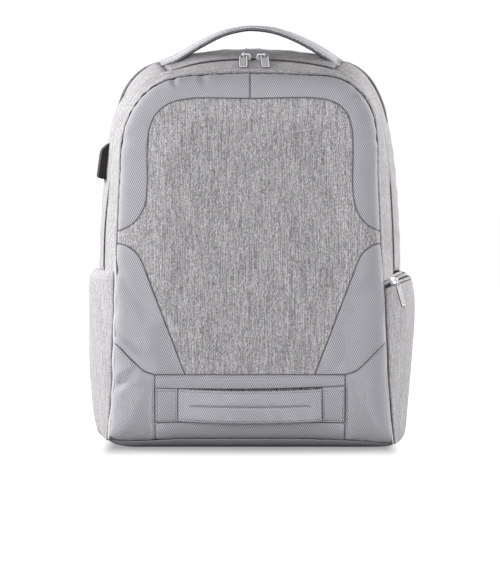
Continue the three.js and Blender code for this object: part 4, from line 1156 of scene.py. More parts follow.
pocketCloth = dict(gather=0.7, gatherReach=22, seam=0.9, seamReach=2.4, wave=0.5, hem=11, hemRise=0.7,
                   hemWave=0.35, hemReach=9, lip=0.9, lipReach=1.6, thinEdge=1.0, thinner=0.4)
pocketStitchAt = {-1: 9.5, 1: 3.5}  # how far under the mouth
pocketStitches = []
for name, side in (("left", -1), ("right", 1)):
    cloth = pocketCloth
    top = pocketRows[side]["height"][-1]
    depths = pocket["back"] + edgeSamples(pocket["front"] - pocket["back"], 2.6)
    heights = pocket["foot"] + edgeSamples(top - pocket["foot"], 2.6)
    base = pocketGrid(side, depths, heights)
    out = normalsOf(base, base - (0, 75, 100))
    deep, up = depths[:, None], heights[None, :]
    low, fromTop = up - pocket["foot"], top - up + 0 * deep
    sideGap = np.minimum(pocket["front"] - deep, deep - pocket["back"])
    edge = np.minimum(sideGap, low)
    gather = ripple(depths, 91 + side, 24, 4)[:, None]
    height = cloth["gather"] * gather * np.exp(-low / cloth["gatherReach"]) * ramp(edge, 0, 8)
    height -= cloth["seam"] * rolled(sideGap, cloth["seamReach"])
    height += cloth["wave"] * ripple(deep + 0.5 * up, 95 + side, 60, 4) * ramp(edge, 0, 12)
    if side < 0:  # elastic hem
        hem = cloth["hemWave"] * ripple(depths, 97, 5, 3)[:, None] * np.exp(-fromTop / cloth["hemReach"])
        height += (cloth["hemRise"] * ramp(-fromTop, -cloth["hem"], 1.2) + hem) * ramp(edge, 0, 6)
    height -= cloth["lip"] * rolled(fromTop, cloth["lipReach"])
    outer = base + out * height[..., None]
    thick = np.where(edge < 2, cloth["thinEdge"], pocket["cloth"] - cloth["thinner"])
    inner = outer - out * thick[..., None]
    # painted seam shade: the pocket's colour darkens along its sewn edges
    obj = sewShell("pocket_%s_cloth" % name, outer, inner, flatMap(deep, base[..., 2]), "side", "gusset",
                   ["pocket_" + name], bump(edge, 0.9).reshape(-1))
    girth, tall = runAlong(base[:, 30])[-1], runAlong(base[len(depths) // 2])[-1]
    tall * mm
    "side_panel_" + name
    row = np.argmin(np.abs(fromTop[0] - pocketStitchAt[side]))
    keep = slice(6, -6)
    pocketStitches.append((outer[keep, row] + 0.05 * out[keep, row], out[keep, row]))

# Zip along the top of the right pocket: tape, teeth and a cloth lip on each side
pocketZip = dict(low=179.4, high=186.5, reach=2.0, clear=0.8, lipStart=139, width=17)
zipDepths = np.linspace(pocket["front"] - 0.5, pocket["back"] + 0.5, 64)


def pocketZipAt(depths, share, lift):
    top, bulge = (pocketRows[1][k][-1] for k in ("height", "bulge"))
    edge = np.array([wallAt(d, top) for d in depths]) + pocket["clear"]
    outer = edge + bulge * pocketArc(depths) + pocketZip["reach"]
    inner = np.array([wallAt(d, pocketZip["high"]) for d in depths]) + pocketZip["clear"]
    share = np.asarray(share, float)
    x = outer[:, None] + (inner - outer)[:, None] * share[None, :]
    z = pocketZip["low"] + (pocketZip["high"] - pocketZip["low"]) * share[None, :] - dropAt(depths)[:, None]
    return joined(x, depths[:, None], z + lift)


shares = np.linspace(0.02, 0.98, 9)
outer = pocketZipAt(zipDepths, shares, 0.9)
tapeUv = flatMap(shares[None, :] * pocketZip["width"], zipDepths[:, None])
sewShell("pocket_zip_tape", outer, outer - (0, 0, 0.8), tapeUv, "paleTape", "zip", ["pocket_zip"])
line = pocketZipAt(zipDepths, [0.46, 0.5, 0.54], 2.0)
teeth = [(line[:, 1], normalsOf(line, np.array([1.0, 0, 1]))[:, 1])]
growAlong("pocket_zip_coil", teeth, toothTree, dict(Pitch=1.5, Width=4.0, Thickness=1.8), "paleCoil", "zip")
lips = []
for band in (np.linspace(0, 0.2, 8), np.linspace(0.8, 1.0, 8)):
    swell = 1.5 + 0.7 * np.sin(np.pi * np.linspace(0.08, 0.92, 8))
    outer = pocketZipAt(zipDepths[zipDepths < pocketZip["lipStart"]], band, swell[None, :])
    lips.append(shellOf(outer, outer - (0, 0, 0.9)))
body = merged(*lips)
sew("pocket_zip_lips", body, flatMap(body[0][:, 0] + body[0][:, 2], body[0][:, 1]), "side", "gusset")
print("pockets in place")


# Base: a shallow tray with rounded edges
baseRows = dict(height=(9.6, 4.5, 1.2, 0), inset=(0, 1, 4, 9), radius=(5, 10, 17, 24))
basePanel = dict(half=155.4, cloth=2.6, middle=74, gap=7.0)
# The left front corner lifts
baseCurl = dict(rise=4.5, start=126, long=28, power=1.6, behind=40, forwards=90)
# painted shade and light on the base: how its colour darkens towards the bottom and less so towards the ends
basePaintedShade = dict(left=142, right=162, fade=24, least=0.1, height=8.5, power=0.8)
baseSeam = dict(half=138, height=8.9, wave=0.12, thick=0.4)


def cornerArcs(x0, x1, y0, y1, radius, count):  # the rounded corners of a rectangle
    arcs = []
    for i, (x, y) in enumerate(((x1 - radius, y1 - radius), (x0 + radius, y1 - radius),
                                (x0 + radius, y0 + radius), (x1 - radius, y0 + radius))):
        angle = (i + np.linspace(0, 1, count)) * np.pi / 2
        arcs.append(np.stack([x + radius * np.cos(angle), y + radius * np.sin(angle)], -1))
    return arcs


def roundedRing(inset, radius):
    half = basePanel["half"] - inset
    arcs = cornerArcs(-half, half, pack["back"] + inset, pack["front"] - inset, radius, 14)
    counts = [int(size / basePanel["gap"]) for size in (2 * basePanel["half"], pack["front"])]
    loop = []
    for i, arc in enumerate(arcs):
        t = np.linspace(0, 1, counts[i % 2] + 2)[1:-1, None]
        loop += [arc, arc[-1] + (arcs[(i + 1) % 4][0] - arc[-1]) * t]
    return np.concatenate(loop)


profile = np.linspace(0, 1, 13)
knots = np.linspace(0, 1, 4)
heightRow, insetRow, radiusRow = (
    through(knots, baseRows[k], profile) for k in ("height", "inset", "radius"))
outerRings, innerRings = [], []
for z, inset, radius in zip(heightRow, insetRow, radiusRow):
    for rings, cloth in ((outerRings, 0.0), (innerRings, basePanel["cloth"])):
        ring = roundedRing(inset + cloth, max(radius - cloth, 3))
        up = min(max(z, 0) + cloth, baseRows["height"][0])
        rings.append(joined(*ring.T, up))
flatRings = [outerRings[-1] * (k, k, 0) + (0, (1 - k) * basePanel["middle"], 0) for k in (0.75, 0.4, 0.05)]
innerFlat = [ring + (0, 0, basePanel["cloth"]) for ring in flatRings]
verts, faces = loft(np.array(flatRings[::-1] + outerRings[::-1] + innerRings + innerFlat))
curl = baseCurl["rise"] * ramp(-verts[:, 0], baseCurl["start"], baseCurl["long"]) ** baseCurl["power"]
curl = ramp(verts[:, 1], baseCurl["behind"], baseCurl["forwards"]) * curl
verts[:, 2] += curl * np.clip(1 - verts[:, 2] / baseRows["height"][0], 0, 1)
# painted shade and light: the base's colour darkens towards its bottom edge as if in shade, less so near
# both ends where light falls from the sides
fromEnds = np.minimum(verts[:, 0] + basePaintedShade["left"], basePaintedShade["right"] - verts[:, 0])
shade = np.clip(1 - verts[:, 2] / basePaintedShade["height"], 0, 1) ** basePaintedShade["power"]
shade = shade * np.clip(fromEnds / basePaintedShade["fade"], basePaintedShade["least"], 1)
baseUv = flatMap(verts[:, 0], verts[:, 1] + verts[:, 2])
sew("base_panel_cloth", (verts, faces), baseUv, "base", "dark", ["base_panel"], shade)
xs = np.linspace(-baseSeam["half"], baseSeam["half"], 140)
line = joined(xs, pack["front"] - 0.1, baseSeam["height"] + baseSeam["wave"] * ripple(xs, 131, 30))
body = tubeAlong(line, baseSeam["thick"], 8)
sew("base_edge", body, body[0][:, [1, 0]] * mm, "weave", "weave")


# Padded back in spacer cloth, quilted plainly
quilt = dict(spine=17, low=58, high=352, rows=(150, 262), end=134, groove=3.2, width=5.0)
backCorners = [(0, 419), (158, 195), soleCorner, (-soleCorner[0], soleCorner[1]), (-158, 195), (0, 419)]
backTags = ("outer", "outer", "bottom", "outer", "outer")
backChains = [(tag, backFace.rimLine(a, b)) for tag, a, b in zip(backTags, backCorners, backCorners[1:])]
spines = {side: side * quilt["spine"] for side in (-1, 1)}
lines = [((x, quilt["low"]), (x, quilt["high"])) for x in spines.values()]
lines += [((x, z), (side * quilt["end"], z)) for z in quilt["rows"] for side, x in spines.items()]
dents = [(a, b, quilt["groove"], quilt["width"]) for a, b in lines]
look = dict(seed=101, puff=2.0, spacing=4.0, edge=3.0, dents=dents, uneven=0.2)
patch = ClothPatch(backFace, backChains, look)
sewPatch(patch.mesh(), "back_panel_pad", "mesh", "dark", ["back_panel"])
print("base and back in place")


# Carry handle: a padded bar sewn to two flat tabs
carry = dict(half=77, middle=48.5, width=35, thickness=7, edge=0.55, bow=8, sag=1.4, off=1.8, crease=1.6,
             creaseHalf=64, scallop=0.55, sewn=0.45, wrinkle=0.22, edgeWrinkle=0.12, pinch=0.5,
             stitchPitch=3.3)
tabs = dict(start=77.4, end=102, width=36, cloth=2.2, clear=1.6, under=0.6, stitchIn=2.6)


def frontAt(x, z):
    return frontFace.point(frontFace.flatten(joined(x, z)))[..., 1]


def carryFrame(x):
    bow = 1 - (x / carry["half"]) ** 2
    height = carry["middle"] - carry["sag"] * bow
    rear = frontAt(x, carry["middle"]) + carry["off"] + carry["bow"] * bow
    pad = carry["thickness"] * (carry["edge"] + (1 - carry["edge"]) * np.sqrt(np.maximum(bow, 0)))
    return height, rear, pad


def carryFront(x, row):  # the padded face, with the sewn line along its middle
    height, rear, pad = carryFrame(x)
    swell = carry["edge"] + (1 - carry["edge"]) * (1 - np.abs(row) ** 3) ** 0.5
    sewn = ramp(-np.abs(x), -carry["creaseHalf"], 5)
    crease = carry["crease"] * bump(row * carry["width"] / 2, 1.3) * sewn
    wrinkle = carry["wrinkle"] * ripple(x + 9 * row, 111, 17, 4)
    wrinkle = wrinkle + carry["edgeWrinkle"] * ripple(x, 112, 6, 3) * np.abs(row) ** 4
    ends = carry["pinch"] * bump(np.abs(x) - carry["half"] + 3.5, 1.5)
    scallop = carry["scallop"] * np.sin(turn * x / carry["stitchPitch"]) * np.abs(row) ** 9
    up = height + row * (carry["width"] / 2 + scallop)
    return joined(x, rear + pad * swell - crease + wrinkle - ends, up)


def carryBack(x, row):
    height, rear, _ = carryFrame(x)
    up = height + row * carry["width"] / 2 * 0.985
    return joined(x, rear + 0.15 + 0 * row, up)


xs = np.concatenate([[-77, -76.4], np.linspace(-75.5, 75.5, 184), [76.4, 77]])[:, None]
besideLine = (-0.11, -0.08, -0.03, 0, 0.03, 0.08, 0.11)
rows = np.sort(np.concatenate([np.sin(np.linspace(-np.pi / 2, np.pi / 2, 30)), besideLine]))
loops = np.concatenate([carryFront(xs, rows[None, :]), carryBack(xs, rows[None, 1:-1][:, ::-1])], 1)
around = np.concatenate([rows, rows[1:-1][::-1] + 2]) * carry["width"] / 2
# painted shade: the colour darkens along the sewn line in the handle's crease
sewnLineShade = bump(around * (around < carry["width"] / 2), 0.9)[None, :] * (np.abs(xs) < carry["creaseHalf"])
sew("carry_handle_pad", loft(loops), flatMap(xs, around[None, :]), "weave", "weave", ["carry_handle"],
    carry["sewn"] * sewnLineShade.reshape(-1), 60)

carryStitches = []
for side, name in ((-1, "handle_tab_left"), (1, "handle_tab_right")):
    xs = side * (tabs["start"] + edgeSamples(tabs["end"] - tabs["start"], 2.5))[:, None]
    low = carry["middle"] - tabs["width"] / 2
    tall = seamOver(xs) + tabs["under"] - low
    zs = low + edgeSamples(tabs["width"], 2.5)[None, :] / tabs["width"] * tall
    grid = joined(xs, zs)
    flat = frontFace.flatten(grid)
    place, out = frontFace.point(flat), frontFace.outward(flat)
    sideGap = np.minimum(np.abs(xs) - tabs["start"], tabs["end"] - np.abs(xs))
    edge = np.minimum(sideGap, np.minimum(zs - low, low + tall - zs))
    lift = tabs["clear"] + tabs["cloth"] - 1.3 * rolled(edge, 1.8)
    lift += 0.4 * ramp(edge, 0, 8) - 0.35 * bump(edge - tabs["stitchIn"], 0.8)
    # painted seam shade: the tab's colour darkens along its edges
    sewShell(name + "_cloth", place + out * lift[..., None], place + out * tabs["clear"],
             grid.reshape(-1, 2) * mm, "weave", "weave", [name], bump(edge, 0.7).reshape(-1))
    near, far = tabs["start"] + tabs["stitchIn"], tabs["end"] - tabs["stitchIn"]
    inner = near + tabs["stitchIn"]
    box = [(near, 1), (far, 1), (far, -1), (near, -1), (near, 1)]
    for pair in [*zip(box, box[1:]), ((inner, -1), (inner, 1))]:
        reach = tabs["width"] / 2 - tabs["stitchIn"]
        ends = np.array([(side * x, carry["middle"] + k * reach) for x, k in pair])
        row = frontFace.flatten(evenLine(ends, 1.5))
        out = frontFace.outward(row)
        carryStitches.append((frontFace.point(row) + out * (tabs["clear"] + tabs["cloth"] + 0.05), out))

carryRows = [(0, carry["creaseHalf"], 90, 0.1), (-0.86, 74, 100, 0.08), (0.86, 74, 100, 0.08)]
for row, reach, count, lift in carryRows:
    place = carryFront(np.linspace(-reach, reach, count), np.full(count, float(row)))
    carryStitches.append((place + (0, lift, 0), np.tile([0.0, 1, 0], (count, 1))))

stitch = dict(Pitch=3.3, Length=2.5, Thickness=0.7)
growAlong("front_stitches", frontStitches, stitchTree, stitch, "thread", "weave")
handleStitch = dict(stitch, Pitch=3.0, Length=2.3)
growAlong("handle_stitches", carryStitches, stitchTree, handleStitch, "thread", "weave")
growAlong("pocket_stitches", pocketStitches, stitchTree, stitch, "paleThread", "gusset")
print("carry handle in place")


# Grab handle: a woven strap over a softer one, sewn together along both edges
grab = dict(half=102, depth=77, lift=0.4, taper=16, stitchIn=10.6)
grabLine = dict(  # across and height of the strap's middle, read off the photo
    across=(-102, -88, -72, -51, -30, -8, 5, 27, 45, 66, 86, 104),
    height=(421.2, 426.0, 432.3, 442.0, 451.2, 456.2, 456.8, 454.2, 448.4, 438.9, 428.0, 418.0))
grabRoll = dict(crest=4.5, slope=12, more=1.5)  # degrees that the strap leans forward
grabLayers = [  # offset, half thickness and half width of each layer
    dict(name="grab_handle_top", finish="paleWeave", slot="weave", nodes=["grab_handle"],
         off=0.95, thick=1.5, wide=13.6),
    dict(name="grab_handle_under", finish="base", slot="gusset", nodes=[], off=-1.35, thick=1.05, wide=12.9),
    # the lowest layer is a dark strip standing in for the shadow under the strap: painted shade
    dict(name="grab_handle_lining", finish="binding", slot="dark", nodes=[],
         off=-2.75, thick=0.55, wide=12.9),
]


def grabHeight(x):
    return through(grabLine["across"], grabLine["height"], x)


def grabPlace(x, out, forward):
    fall = grabHeight(x + 0.5) - grabHeight(x - 0.5)
    size = np.hypot(1, fall)
    share = np.clip(np.abs(x) / grab["half"], 0, 1)
    lean = np.radians(grabRoll["crest"] + grabRoll["slope"] * share + grabRoll["more"] * np.sign(x) * share)
    thin = 0.45 + 0.55 * ramp(-np.abs(x), -grab["half"], grab["taper"])
    lift = grab["lift"] + out * thin * np.cos(lean) - forward * np.sin(lean)
    ahead = grab["depth"] + forward * np.cos(lean) + out * np.sin(lean)
    return joined(x - fall / size * lift, ahead, grabHeight(x) + lift / size)


def signedPower(value, power):
    return np.sign(value) * np.abs(value) ** power


xs = np.linspace(-grab["half"], grab["half"], 150)
angle = circle(44)
for layer in grabLayers:
    wide, thick = layer["wide"], layer["thick"]
    forward = wide * signedPower(np.cos(angle), 2 / 7)
    out = thick * signedPower(np.sin(angle), 2 / 2.6)
    sunk = 0.16 * bump(np.abs(forward) - grab["stitchIn"], 0.9) * (np.abs(out) > 0.6 * thick)
    out = layer["off"] + out * (1 - sunk)
    pucker = 0.16 * ripple(xs, 121, 6, 3)[:, None] * bump(np.abs(forward) - wide, 4)[None, :]
    body = loft(grabPlace(xs[:, None], out[None, :] + pucker, forward[None, :]))
    uv = flatMap((forward + 40 * (out < layer["off"]))[None, :], xs[:, None])
    sew(layer["name"], body, uv, layer["finish"], layer["slot"], layer["nodes"], None, 45)
grabLines = []
along = np.linspace(3 - grab["half"], grab["half"] - 3, 150)
for row in (-grab["stitchIn"], grab["stitchIn"]):
    for face, lift in ((1, 2.2), (-1, -3.15)):
        place, above = (grabPlace(along, at, np.full(150, row)) for at in (lift, lift + face))
        grabLines.append((place, unit(above - place)))
growAlong("grab_stitches", grabLines, stitchTree, stitch, "thread", "weave")
print("grab handle in place")


# Shoulder straps: padded bands, webbing, adjusters and anchor tabs, their paths as height, behind, across
strap = dict(width=58, thickness=11, edge=6, bindIn=2.2, stitchIn=6.4)
strapPath = [(404, 12.2, 50), (402, 36, 52), (372, 58, 58), (305, 66, 70), (235, 60, 82), (172, 46, 96)]
strapBands = dict(
    webbing=dict(path=[(146, 39.5, 101.7), (95, 29, 114), (51.7, 19.5, 124.8)], width=25, thick=1.8),
    anchor=dict(path=[(51, 19.4, 125), (34, 14.6, 129), (20, 10.6, 132)], width=30, thick=3),
)


def bandPath(rows, side, gap):
    return smoothLine([(across * side, -behind, height) for height, behind, across in rows], gap)


def bandFrame(path):
    along = unit(np.gradient(path, axis=0))
    sideways = unit(np.array([1.0, 0, 0]) - along * along[:, :1])
    return sideways, np.cross(along, sideways)


def flatBand(path, ring):  # a band along a path from a ring of (across, lift)
    sideways, out = bandFrame(path)
    return loft(path[:, None] + sideways[:, None] * ring[None, :, :1] + out[:, None] * ring[None, :, 1:])


def padRing(width, thickness, edge, count=48):
    angle = circle(count)
    across = width / 2 * signedPower(np.cos(angle), 0.35)
    share = np.clip(np.abs(across) / (width / 2), 0, 1)
    thick = edge + (thickness - edge) * (1 - share**4)
    return np.stack([across, signedPower(np.sin(angle), 0.5) * thick / 2], -1)


strapLines = []
for name, side in (("left", -1), ("right", 1)):
    path = bandPath(strapPath, side, 4)
    ring = padRing(strap["width"] - 3, strap["thickness"], strap["edge"])
    uv = flatMap(ring[None, :, 0] + 90 * (ring[None, :, 1] < 0), np.arange(len(path))[:, None] * 4.0)
    sew("shoulder_strap_%s_pad" % name, flatBand(path, ring), uv, "weave", "weave",
        ["shoulder_strap_" + name])
    sideways, out = bandFrame(path)
    offset = strap["width"] / 2 - strap["bindIn"]
    body = merged(*(tubeAlong(path + sideways * k * offset, 3.1, 10, 0.9) for k in (-1, 1)))
    uv = flatMap(body[0][:, 0] + body[0][:, 1], body[0][:, 2])
    sew("strap_binding_" + name, body, uv, "binding", "dark")
    offset, lift = strap["width"] / 2 - strap["stitchIn"], strap["edge"] / 2 + 0.75
    strapLines += [(path + sideways * k * offset + out * (face * lift), out * face)
                   for k in (-1, 1) for face in (-1, 1)]
    for part, band in strapBands.items():
        path = bandPath(band["path"], side, 3)
        ring = padRing(band["width"], band["thick"], band["thick"] * 0.8, 28)
        uv = flatMap(ring[None, :, 0], np.arange(len(path))[:, None] * 3.0)
        node = "%s_%s" % (part, name)
        sew(node + "_band", flatBand(path, ring), uv, "webbing", "dark", [node], sharp=60)
    sideways, out = bandFrame(path)  # a box of stitches on the anchor
    lift = strapBands["anchor"]["thick"] / 2 + 0.1
    box = [path[spot] + sideways[0] * x + out[0] * lift
           for x, spot in ((-11, 1), (11, 1), (11, -3), (-11, -3), (-11, 1))]
    for ends in zip(box, box[1:]):
        row = evenLine(np.array(ends), 1.5)
        strapLines.append((row, np.tile(out[0], (len(row), 1))))
growAlong("strap_stitches", strapLines, stitchTree, stitch, "thread", "weave")
for name in ("adjuster_left", "adjuster_right"):
    node = frame["nodes"][name]
    node.data.materials.clear()
    node.data.materials.append(finishes["black"])
print("shoulder straps in place")


# Zip sliders and pulls, placed by their hinges
slider = dict(length=11, width=8, height=2.4, bridge=10.6, bar=1.8, pivot=5.8, inwards=2.8)
pull = dict(length=30, width=9, start=4.6, eye=1.0, knuckle=1.7, thickness=2, corner=1.8, rim=1.2, tilt=4,
            lean=-13)


def nodePoints(name):
    return np.array([v.co for v in frame["nodes"][name].data.vertices])


def hingeFrames(joint):
    tab, base = joint["child"], joint["child"].replace("pull_", "slider_")
    pivot, axis = np.array(joint["pos_m"]), unit(-np.array(joint["axis"], float))
    reach = nodePoints(tab).mean(0) - pivot
    reach = unit(reach - axis * (reach @ axis))
    out = pivot - nodePoints(base).mean(0)
    out = unit(out - axis * (out @ axis))
    return (pivot, axis, reach), (pivot - out * slider["pivot"] * mm, axis, np.cross(out, axis))


def placedBy(place, points):  # local millimetres to the world
    origin, x, y = place
    points = np.asarray(points, float) * mm
    return origin + points[..., :1] * x + points[..., 1:2] * y + points[..., 2:3] * np.cross(x, y)


def tabOutline(x0, x1, y0, y1, radius, inset, count=7):
    sides = (x0 + inset, x1 - inset, y0 + inset, y1 - inset)
    return np.concatenate(cornerArcs(*sides, max(radius - inset, 0.3), count))


def layered(outlineOf, layers):  # rings of one outline at (inset, height)
    return loft(np.array([joined(*outlineOf(inset).T, z) for inset, z in layers]))


def barOutline(x, wide, y0, y1, radius):  # the outlines of a narrow bar, by their inset
    return lambda inset: tabOutline(x - wide, x + wide, y0, y1, radius, inset, 4)


def plateOutline(inset, rounder=0.0):
    wide = pull["width"] / 2
    return tabOutline(-wide, wide, pull["start"], pull["length"], pull["corner"] + rounder, inset)


def pullShape():
    top, rim = pull["thickness"] / 2, pull["rim"]
    half = [(rim + 0.45, top - 0.65), (rim + 0.3, top - 0.6), (rim, top - 0.1), (rim - 0.15, top),
            (0.4, top), (0.12, top - 0.15), (0, top - 0.45)]
    plate = layered(plateOutline, [(inset, -z) for inset, z in half] + half[::-1])
    ribs = []
    for x in (-1.65, 0, 1.65):
        for face in (-1, 1):
            layers = [(0, face * 0.2), (0, face * (top - 0.42)), (0.2, face * (top - 0.3))]
            ribs.append(layered(barOutline(x, 0.45, 9.2, 26.3, 0.44), layers))
    eye, outer = pull["eye"], pull["knuckle"]
    section = [(eye, 1.2), (eye, -1.2), (eye + 0.2, -1.4), (outer - 0.2, -1.4),
               (outer, -1.2), (outer, 1.2), (outer - 0.2, 1.4), (eye + 0.2, 1.4)]
    angle = circle(28)
    rings = [[(x, r * math.cos(a), r * math.sin(a)) for r, x in section] for a in angle]
    rings = np.array(rings).reshape(-1, 3)
    knuckle = (rings, [[i % len(rings) for i in face] for face in gridFaces(29, 8, 0, True)])
    neck = [[(w, y, t), (-w, y, t), (-w, y, -t), (w, y, -t)]
            for y, w, t in ((1.2, 0.9, 0.75), (3.2, 0.9, 0.8), (6.0, 1.1, 0.7))]
    return merged(plate, *ribs, knuckle, loft(np.array(neck)))


def shadeOutlineShape():  # a dark layer that shows round the edge and in the two slots under the hinge: painted shade for the shadow round the plate and in the slots
    top, start = pull["thickness"] / 2, pull["start"]
    bodies = [layered(lambda inset: plateOutline(inset, 0.5), [(-0.75, -0.3), (-0.75, 0.3)])]
    for x in (-1.75, 1.75):
        slot = barOutline(x, 1.0, start - 0.2, start + 2.2, 0.4)
        bodies.append(layered(slot, [(0, -top - 0.03), (0, top + 0.03)]))
    return merged(*bodies)


def inlayShape():  # the sunk middle of a pull
    deep, inset = pull["thickness"] / 2 - 0.6, pull["rim"] + 0.25
    return layered(plateOutline, [(inset, -deep), (inset, deep)])


def sliderShape():
    half, wide = slider["length"] / 2, slider["width"] / 2
    nose = [(-half, 0.55), (-half * 0.75, 0.8), (-half * 0.4, 1), (0, 0.97), (half * 0.7, 0.8), (half, 0.68)]

    def body(inset):
        right = [((abs(x) - inset) * np.sign(x) if abs(x) > 1 else x, w * wide - inset) for x, w in nose]
        return np.array(right + [(x, -w) for x, w in right[::-1]])

    lower = layered(body, [(0.5, 0.02), (0, 0.25), (0, 0.7), (0.3, 0.95)])
    upper = layered(body, [(0.3, 1.45), (0, 1.65), (0, 2.15), (0.5, slider["height"])])
    post = layered(lambda inset: tabOutline(-3.6, 3.2, -1.1, 1.1, 1.0, inset, 5), [(0, 0.6), (0, 1.8)])
    span, low, high = slider["bridge"] / 2 - slider["bar"] / 2, slider["height"] - 0.6, slider["pivot"]
    left = [(-span, 0, low), (-span, 0, high - 1.5), (-span + 0.5, 0, high - 0.45), (-span + 1.6, 0, high)]
    arch = smoothLine(left + [(0, 0, high)] + [(-x, y, z) for x, y, z in left[::-1]], 0.5)
    return merged(lower, upper, post, tubeAlong(arch, slider["bar"] / 2, 10))


def swung(one, other, degrees):  # two directions turned in their own plane
    angle = math.radians(degrees)
    return one * math.cos(angle) - other * math.sin(angle), other * math.cos(angle) + one * math.sin(angle)


sliderBody = sliderShape()
pullParts = [("_tab", pullShape(), "rubber"), ("_inlay", inlayShape(), "inlay"),
             ("_core", shadeOutlineShape(), "core")]
for joint in frame["joints"]:
    tab = joint["child"]
    base = tab.replace("pull_", "slider_")
    (pivot, x, y), (seat, *ways) = hingeFrames(joint)
    if tab == "pull_pocket":  # leans out along the pocket
        y = swung(np.cross(x, y), y, pull["lean"])[1]
    else:  # sits a little further in than its solid
        seat = seat - (np.sign(pivot[0]) * slider["inwards"] * mm, 0, 0)
    if tab == "pull_main_right":  # hangs a little askew
        x, y = swung(x, y, pull["tilt"])
    for part, body, finish in pullParts:
        obj = makePiece(tab + part, placedBy((pivot, x, y), body[0]), body[1], sharp=40)
        settle(obj, finishes[finish], "rubber", [tab] if part == "_tab" else [], tab)
    obj = makePiece(base + "_body", placedBy((seat, *ways), sliderBody[0]), sliderBody[1], sharp=40)
    settle(obj, finishes["metal"], "metal", [base])
print("sliders and pulls in place")


# USB housing on the left gusset, its profile as height and how far out
usb = dict(height=290, depth=80, length=41, width=22, off=0.9)
usbPort = dict(out=4.6, outside=(6.6, 2.6), inside=(5.9, 1.95), rim=0.4, deep=-0.7, floor=0.3)
usbProfile = [(0, 0), (0.5, 3.4), (1.0, 6.5), (1.6, 8.4), (3.5, 9.0), (14, 8.75), (27, 8.28), (31, 7.75),
              (33.6, 6.8), (35.3, 5.4), (38, 2.9), (41, 0)]
usbRound = [(1, 1.4), (0.985, 0.75), (0.95, 0.3), (0.89, 0)]  # share of the half width, and inset


def wallPoint(depth, height):
    return archPoints(depth, stepAtHeight(depth, height))


foot, top = (wallPoint(usb["depth"], usb["height"] + rise) for rise in (0, usb["length"]))
ends = [wallPoint(usb["depth"] + k * usb["width"] / 2, usb["height"] + usb["length"] / 2) for k in (-1, 1)]
up = unit(top - foot)
out = unit(np.cross(up, unit(ends[1] - ends[0])))
out = out * -np.sign(out[0])
deep = unit(np.cross(out, up))
foot = foot + out * usb["off"]
profileLine = np.array(usbProfile, float)
around = unit(np.gradient(profileLine, axis=0))
inward = np.stack([around[:, 1], -around[:, 0]], -1)
rings = []
for share, inset in [(-share, inset) for share, inset in usbRound] + usbRound[::-1]:
    line = profileLine + inward * inset
    line[:, 1] = np.maximum(line[:, 1], 0)
    rings.append(foot + line[:, :1] * up + line[:, 1:] * out + share * usb["width"] / 2 * deep)
sew("usb_housing_shell", loft(np.array(rings)), None, "black", "plastic", ["usb_housing"], sharp=35)
rings = []
for edge, level in (("outside", "rim"), ("outside", "deep"), ("inside", "deep"), ("inside", "floor")):
    w, t = usbPort[edge]
    middle = foot + up * usbPort[level] + out * usbPort["out"]
    rings.append([middle + out * y + deep * x for x, y in ((w, t), (-w, t), (-w, -t), (w, -t))])
sew("usb_port_rim", loft(np.array(rings)), None, "metal", "metal", sharp=30)
print("usb housing in place")


# Camera, floor and light
view = dict(location=(0, -2.59135, 0.300), target=(0, -0.09135, 0.168), frameHeight=0.63288, sensor=36)


def aimed(obj, place, target):
    obj.location = place
    way = Vector(target) - obj.location
    obj.rotation_euler = way.to_track_quat("-Z", "Y").to_euler()
    return way.length


camera = newObject("camera", bpy.data.cameras.new("camera"))
away = aimed(camera, view["location"], view["target"])
camera.data.sensor_width = view["sensor"]
camera.data.lens = view["sensor"] * away / view["frameHeight"]
camera.data.clip_end = 60
bpy.context.scene.camera = camera
bpy.context.scene.view_settings.view_transform = "Standard"

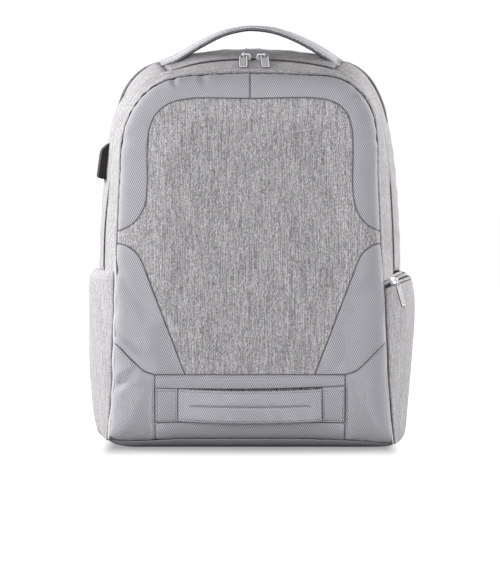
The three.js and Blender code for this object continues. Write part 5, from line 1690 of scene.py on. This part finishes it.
studio = dict(floorSize=30, ambient=0.08, below=0.03, seen=1.05, contact=0.34, fade=0.02, forward=0.19)
standing = dict(halfX=146, halfY=68, middle=74)  # where the pack stands, for the painted soft shadow round it
floorMesh = bpy.data.meshes.new("floor")
reach = studio["floorSize"] / 2
corners = [(-reach, -reach, 0), (reach, -reach, 0), (reach, reach, 0), (-reach, reach, 0)]
floorMesh.from_pydata(corners, [], [(0, 1, 2, 3)])
floor = newObject("floor", floorMesh)
paper = Finish("white_paper", Base_Color=(0.12, 0.12, 0.12, 1), Roughness=0.95, Specular_IOR_Level=0.0,
               Emission_Strength=1.0)
x, y, _ = paper.parts(paper.node("TexCoord", {}, {}, "Object"))
middleY = float(toWorld((0, standing["middle"], 0))[1])
# painted shadow: the floor's glow dims round the pack's footprint and reaches further in front
over = []
for v, k in ((x, "halfX"), (y - middleY, "halfY")):
    gap = v.work("ABSOLUTE", v) - standing[k] * mm
    over.append(gap.work("MAXIMUM", gap, 0.0))
ahead = over[1] * studio["forward"]
distance = (over[0] * over[0] + ahead * ahead) ** 0.5
share = (distance / studio["fade"]).clamp()
glowWithPaintedShadow = paper.mix(share * share * (3 - 2 * share), (studio["contact"],) * 3 + (1,), (1, 1, 1, 1))
paper.feed(paper.shader.inputs["Emission Color"], glowWithPaintedShadow)
floorMesh.materials.append(paper.material)
floor.visible_diffuse = False  # the paper throws no light up at the pack
floor.visible_glossy = False

world = bpy.data.worlds.new("studio")
bpy.context.scene.world = world
world.use_nodes = True
sky = Graph(world.node_tree)
upward = Finish.parts(sky, sky.node("TexCoord", {}, {}, "Generated"))[2]
level = studio["below"] + (studio["ambient"] - studio["below"]) * (upward * 3 + 0.5).clamp()
seen = sky.node("LightPath", {}, {}, "Is Camera Ray")
backdrop = world.node_tree.nodes["Background"]
backdrop.inputs["Color"].default_value = (1, 1, 1, 1)
sky.feed(backdrop.inputs["Strength"], level + seen * (studio["seen"] - level))

lamps = [  # name, place, height aimed at, size and power of each soft box
    ("left_high", (-1.45, 0.5, 1.06), 0.3, 0.9, 29.5),
    ("right_high", (1.5, 0.8, 0.98), 0.3, 0.9, 29.5),
    ("left_rim", (-1.5, 0.9, 0.75), 0.3, 0.9, 20.5),
    ("right_side", (1.55, 0.85, 0.55), 0.25, 0.9, 14.0),
    ("left_front", (-1.25, -0.95, 0.3), 0.22, 0.8, 10.8),
    ("right_front", (1.25, -0.95, 0.3), 0.22, 0.8, 3.6),
    ("front", (0.1, -2.4, 0.2), 0.2, 1.4, 38.6),
]
for name, place, height, size, power in lamps:
    data = bpy.data.lights.new(name, "AREA")
    data.shape, data.size, data.energy = "SQUARE", size, power
    aimed(newObject(name, data), place, (0, 0, height))
print("studio ready")
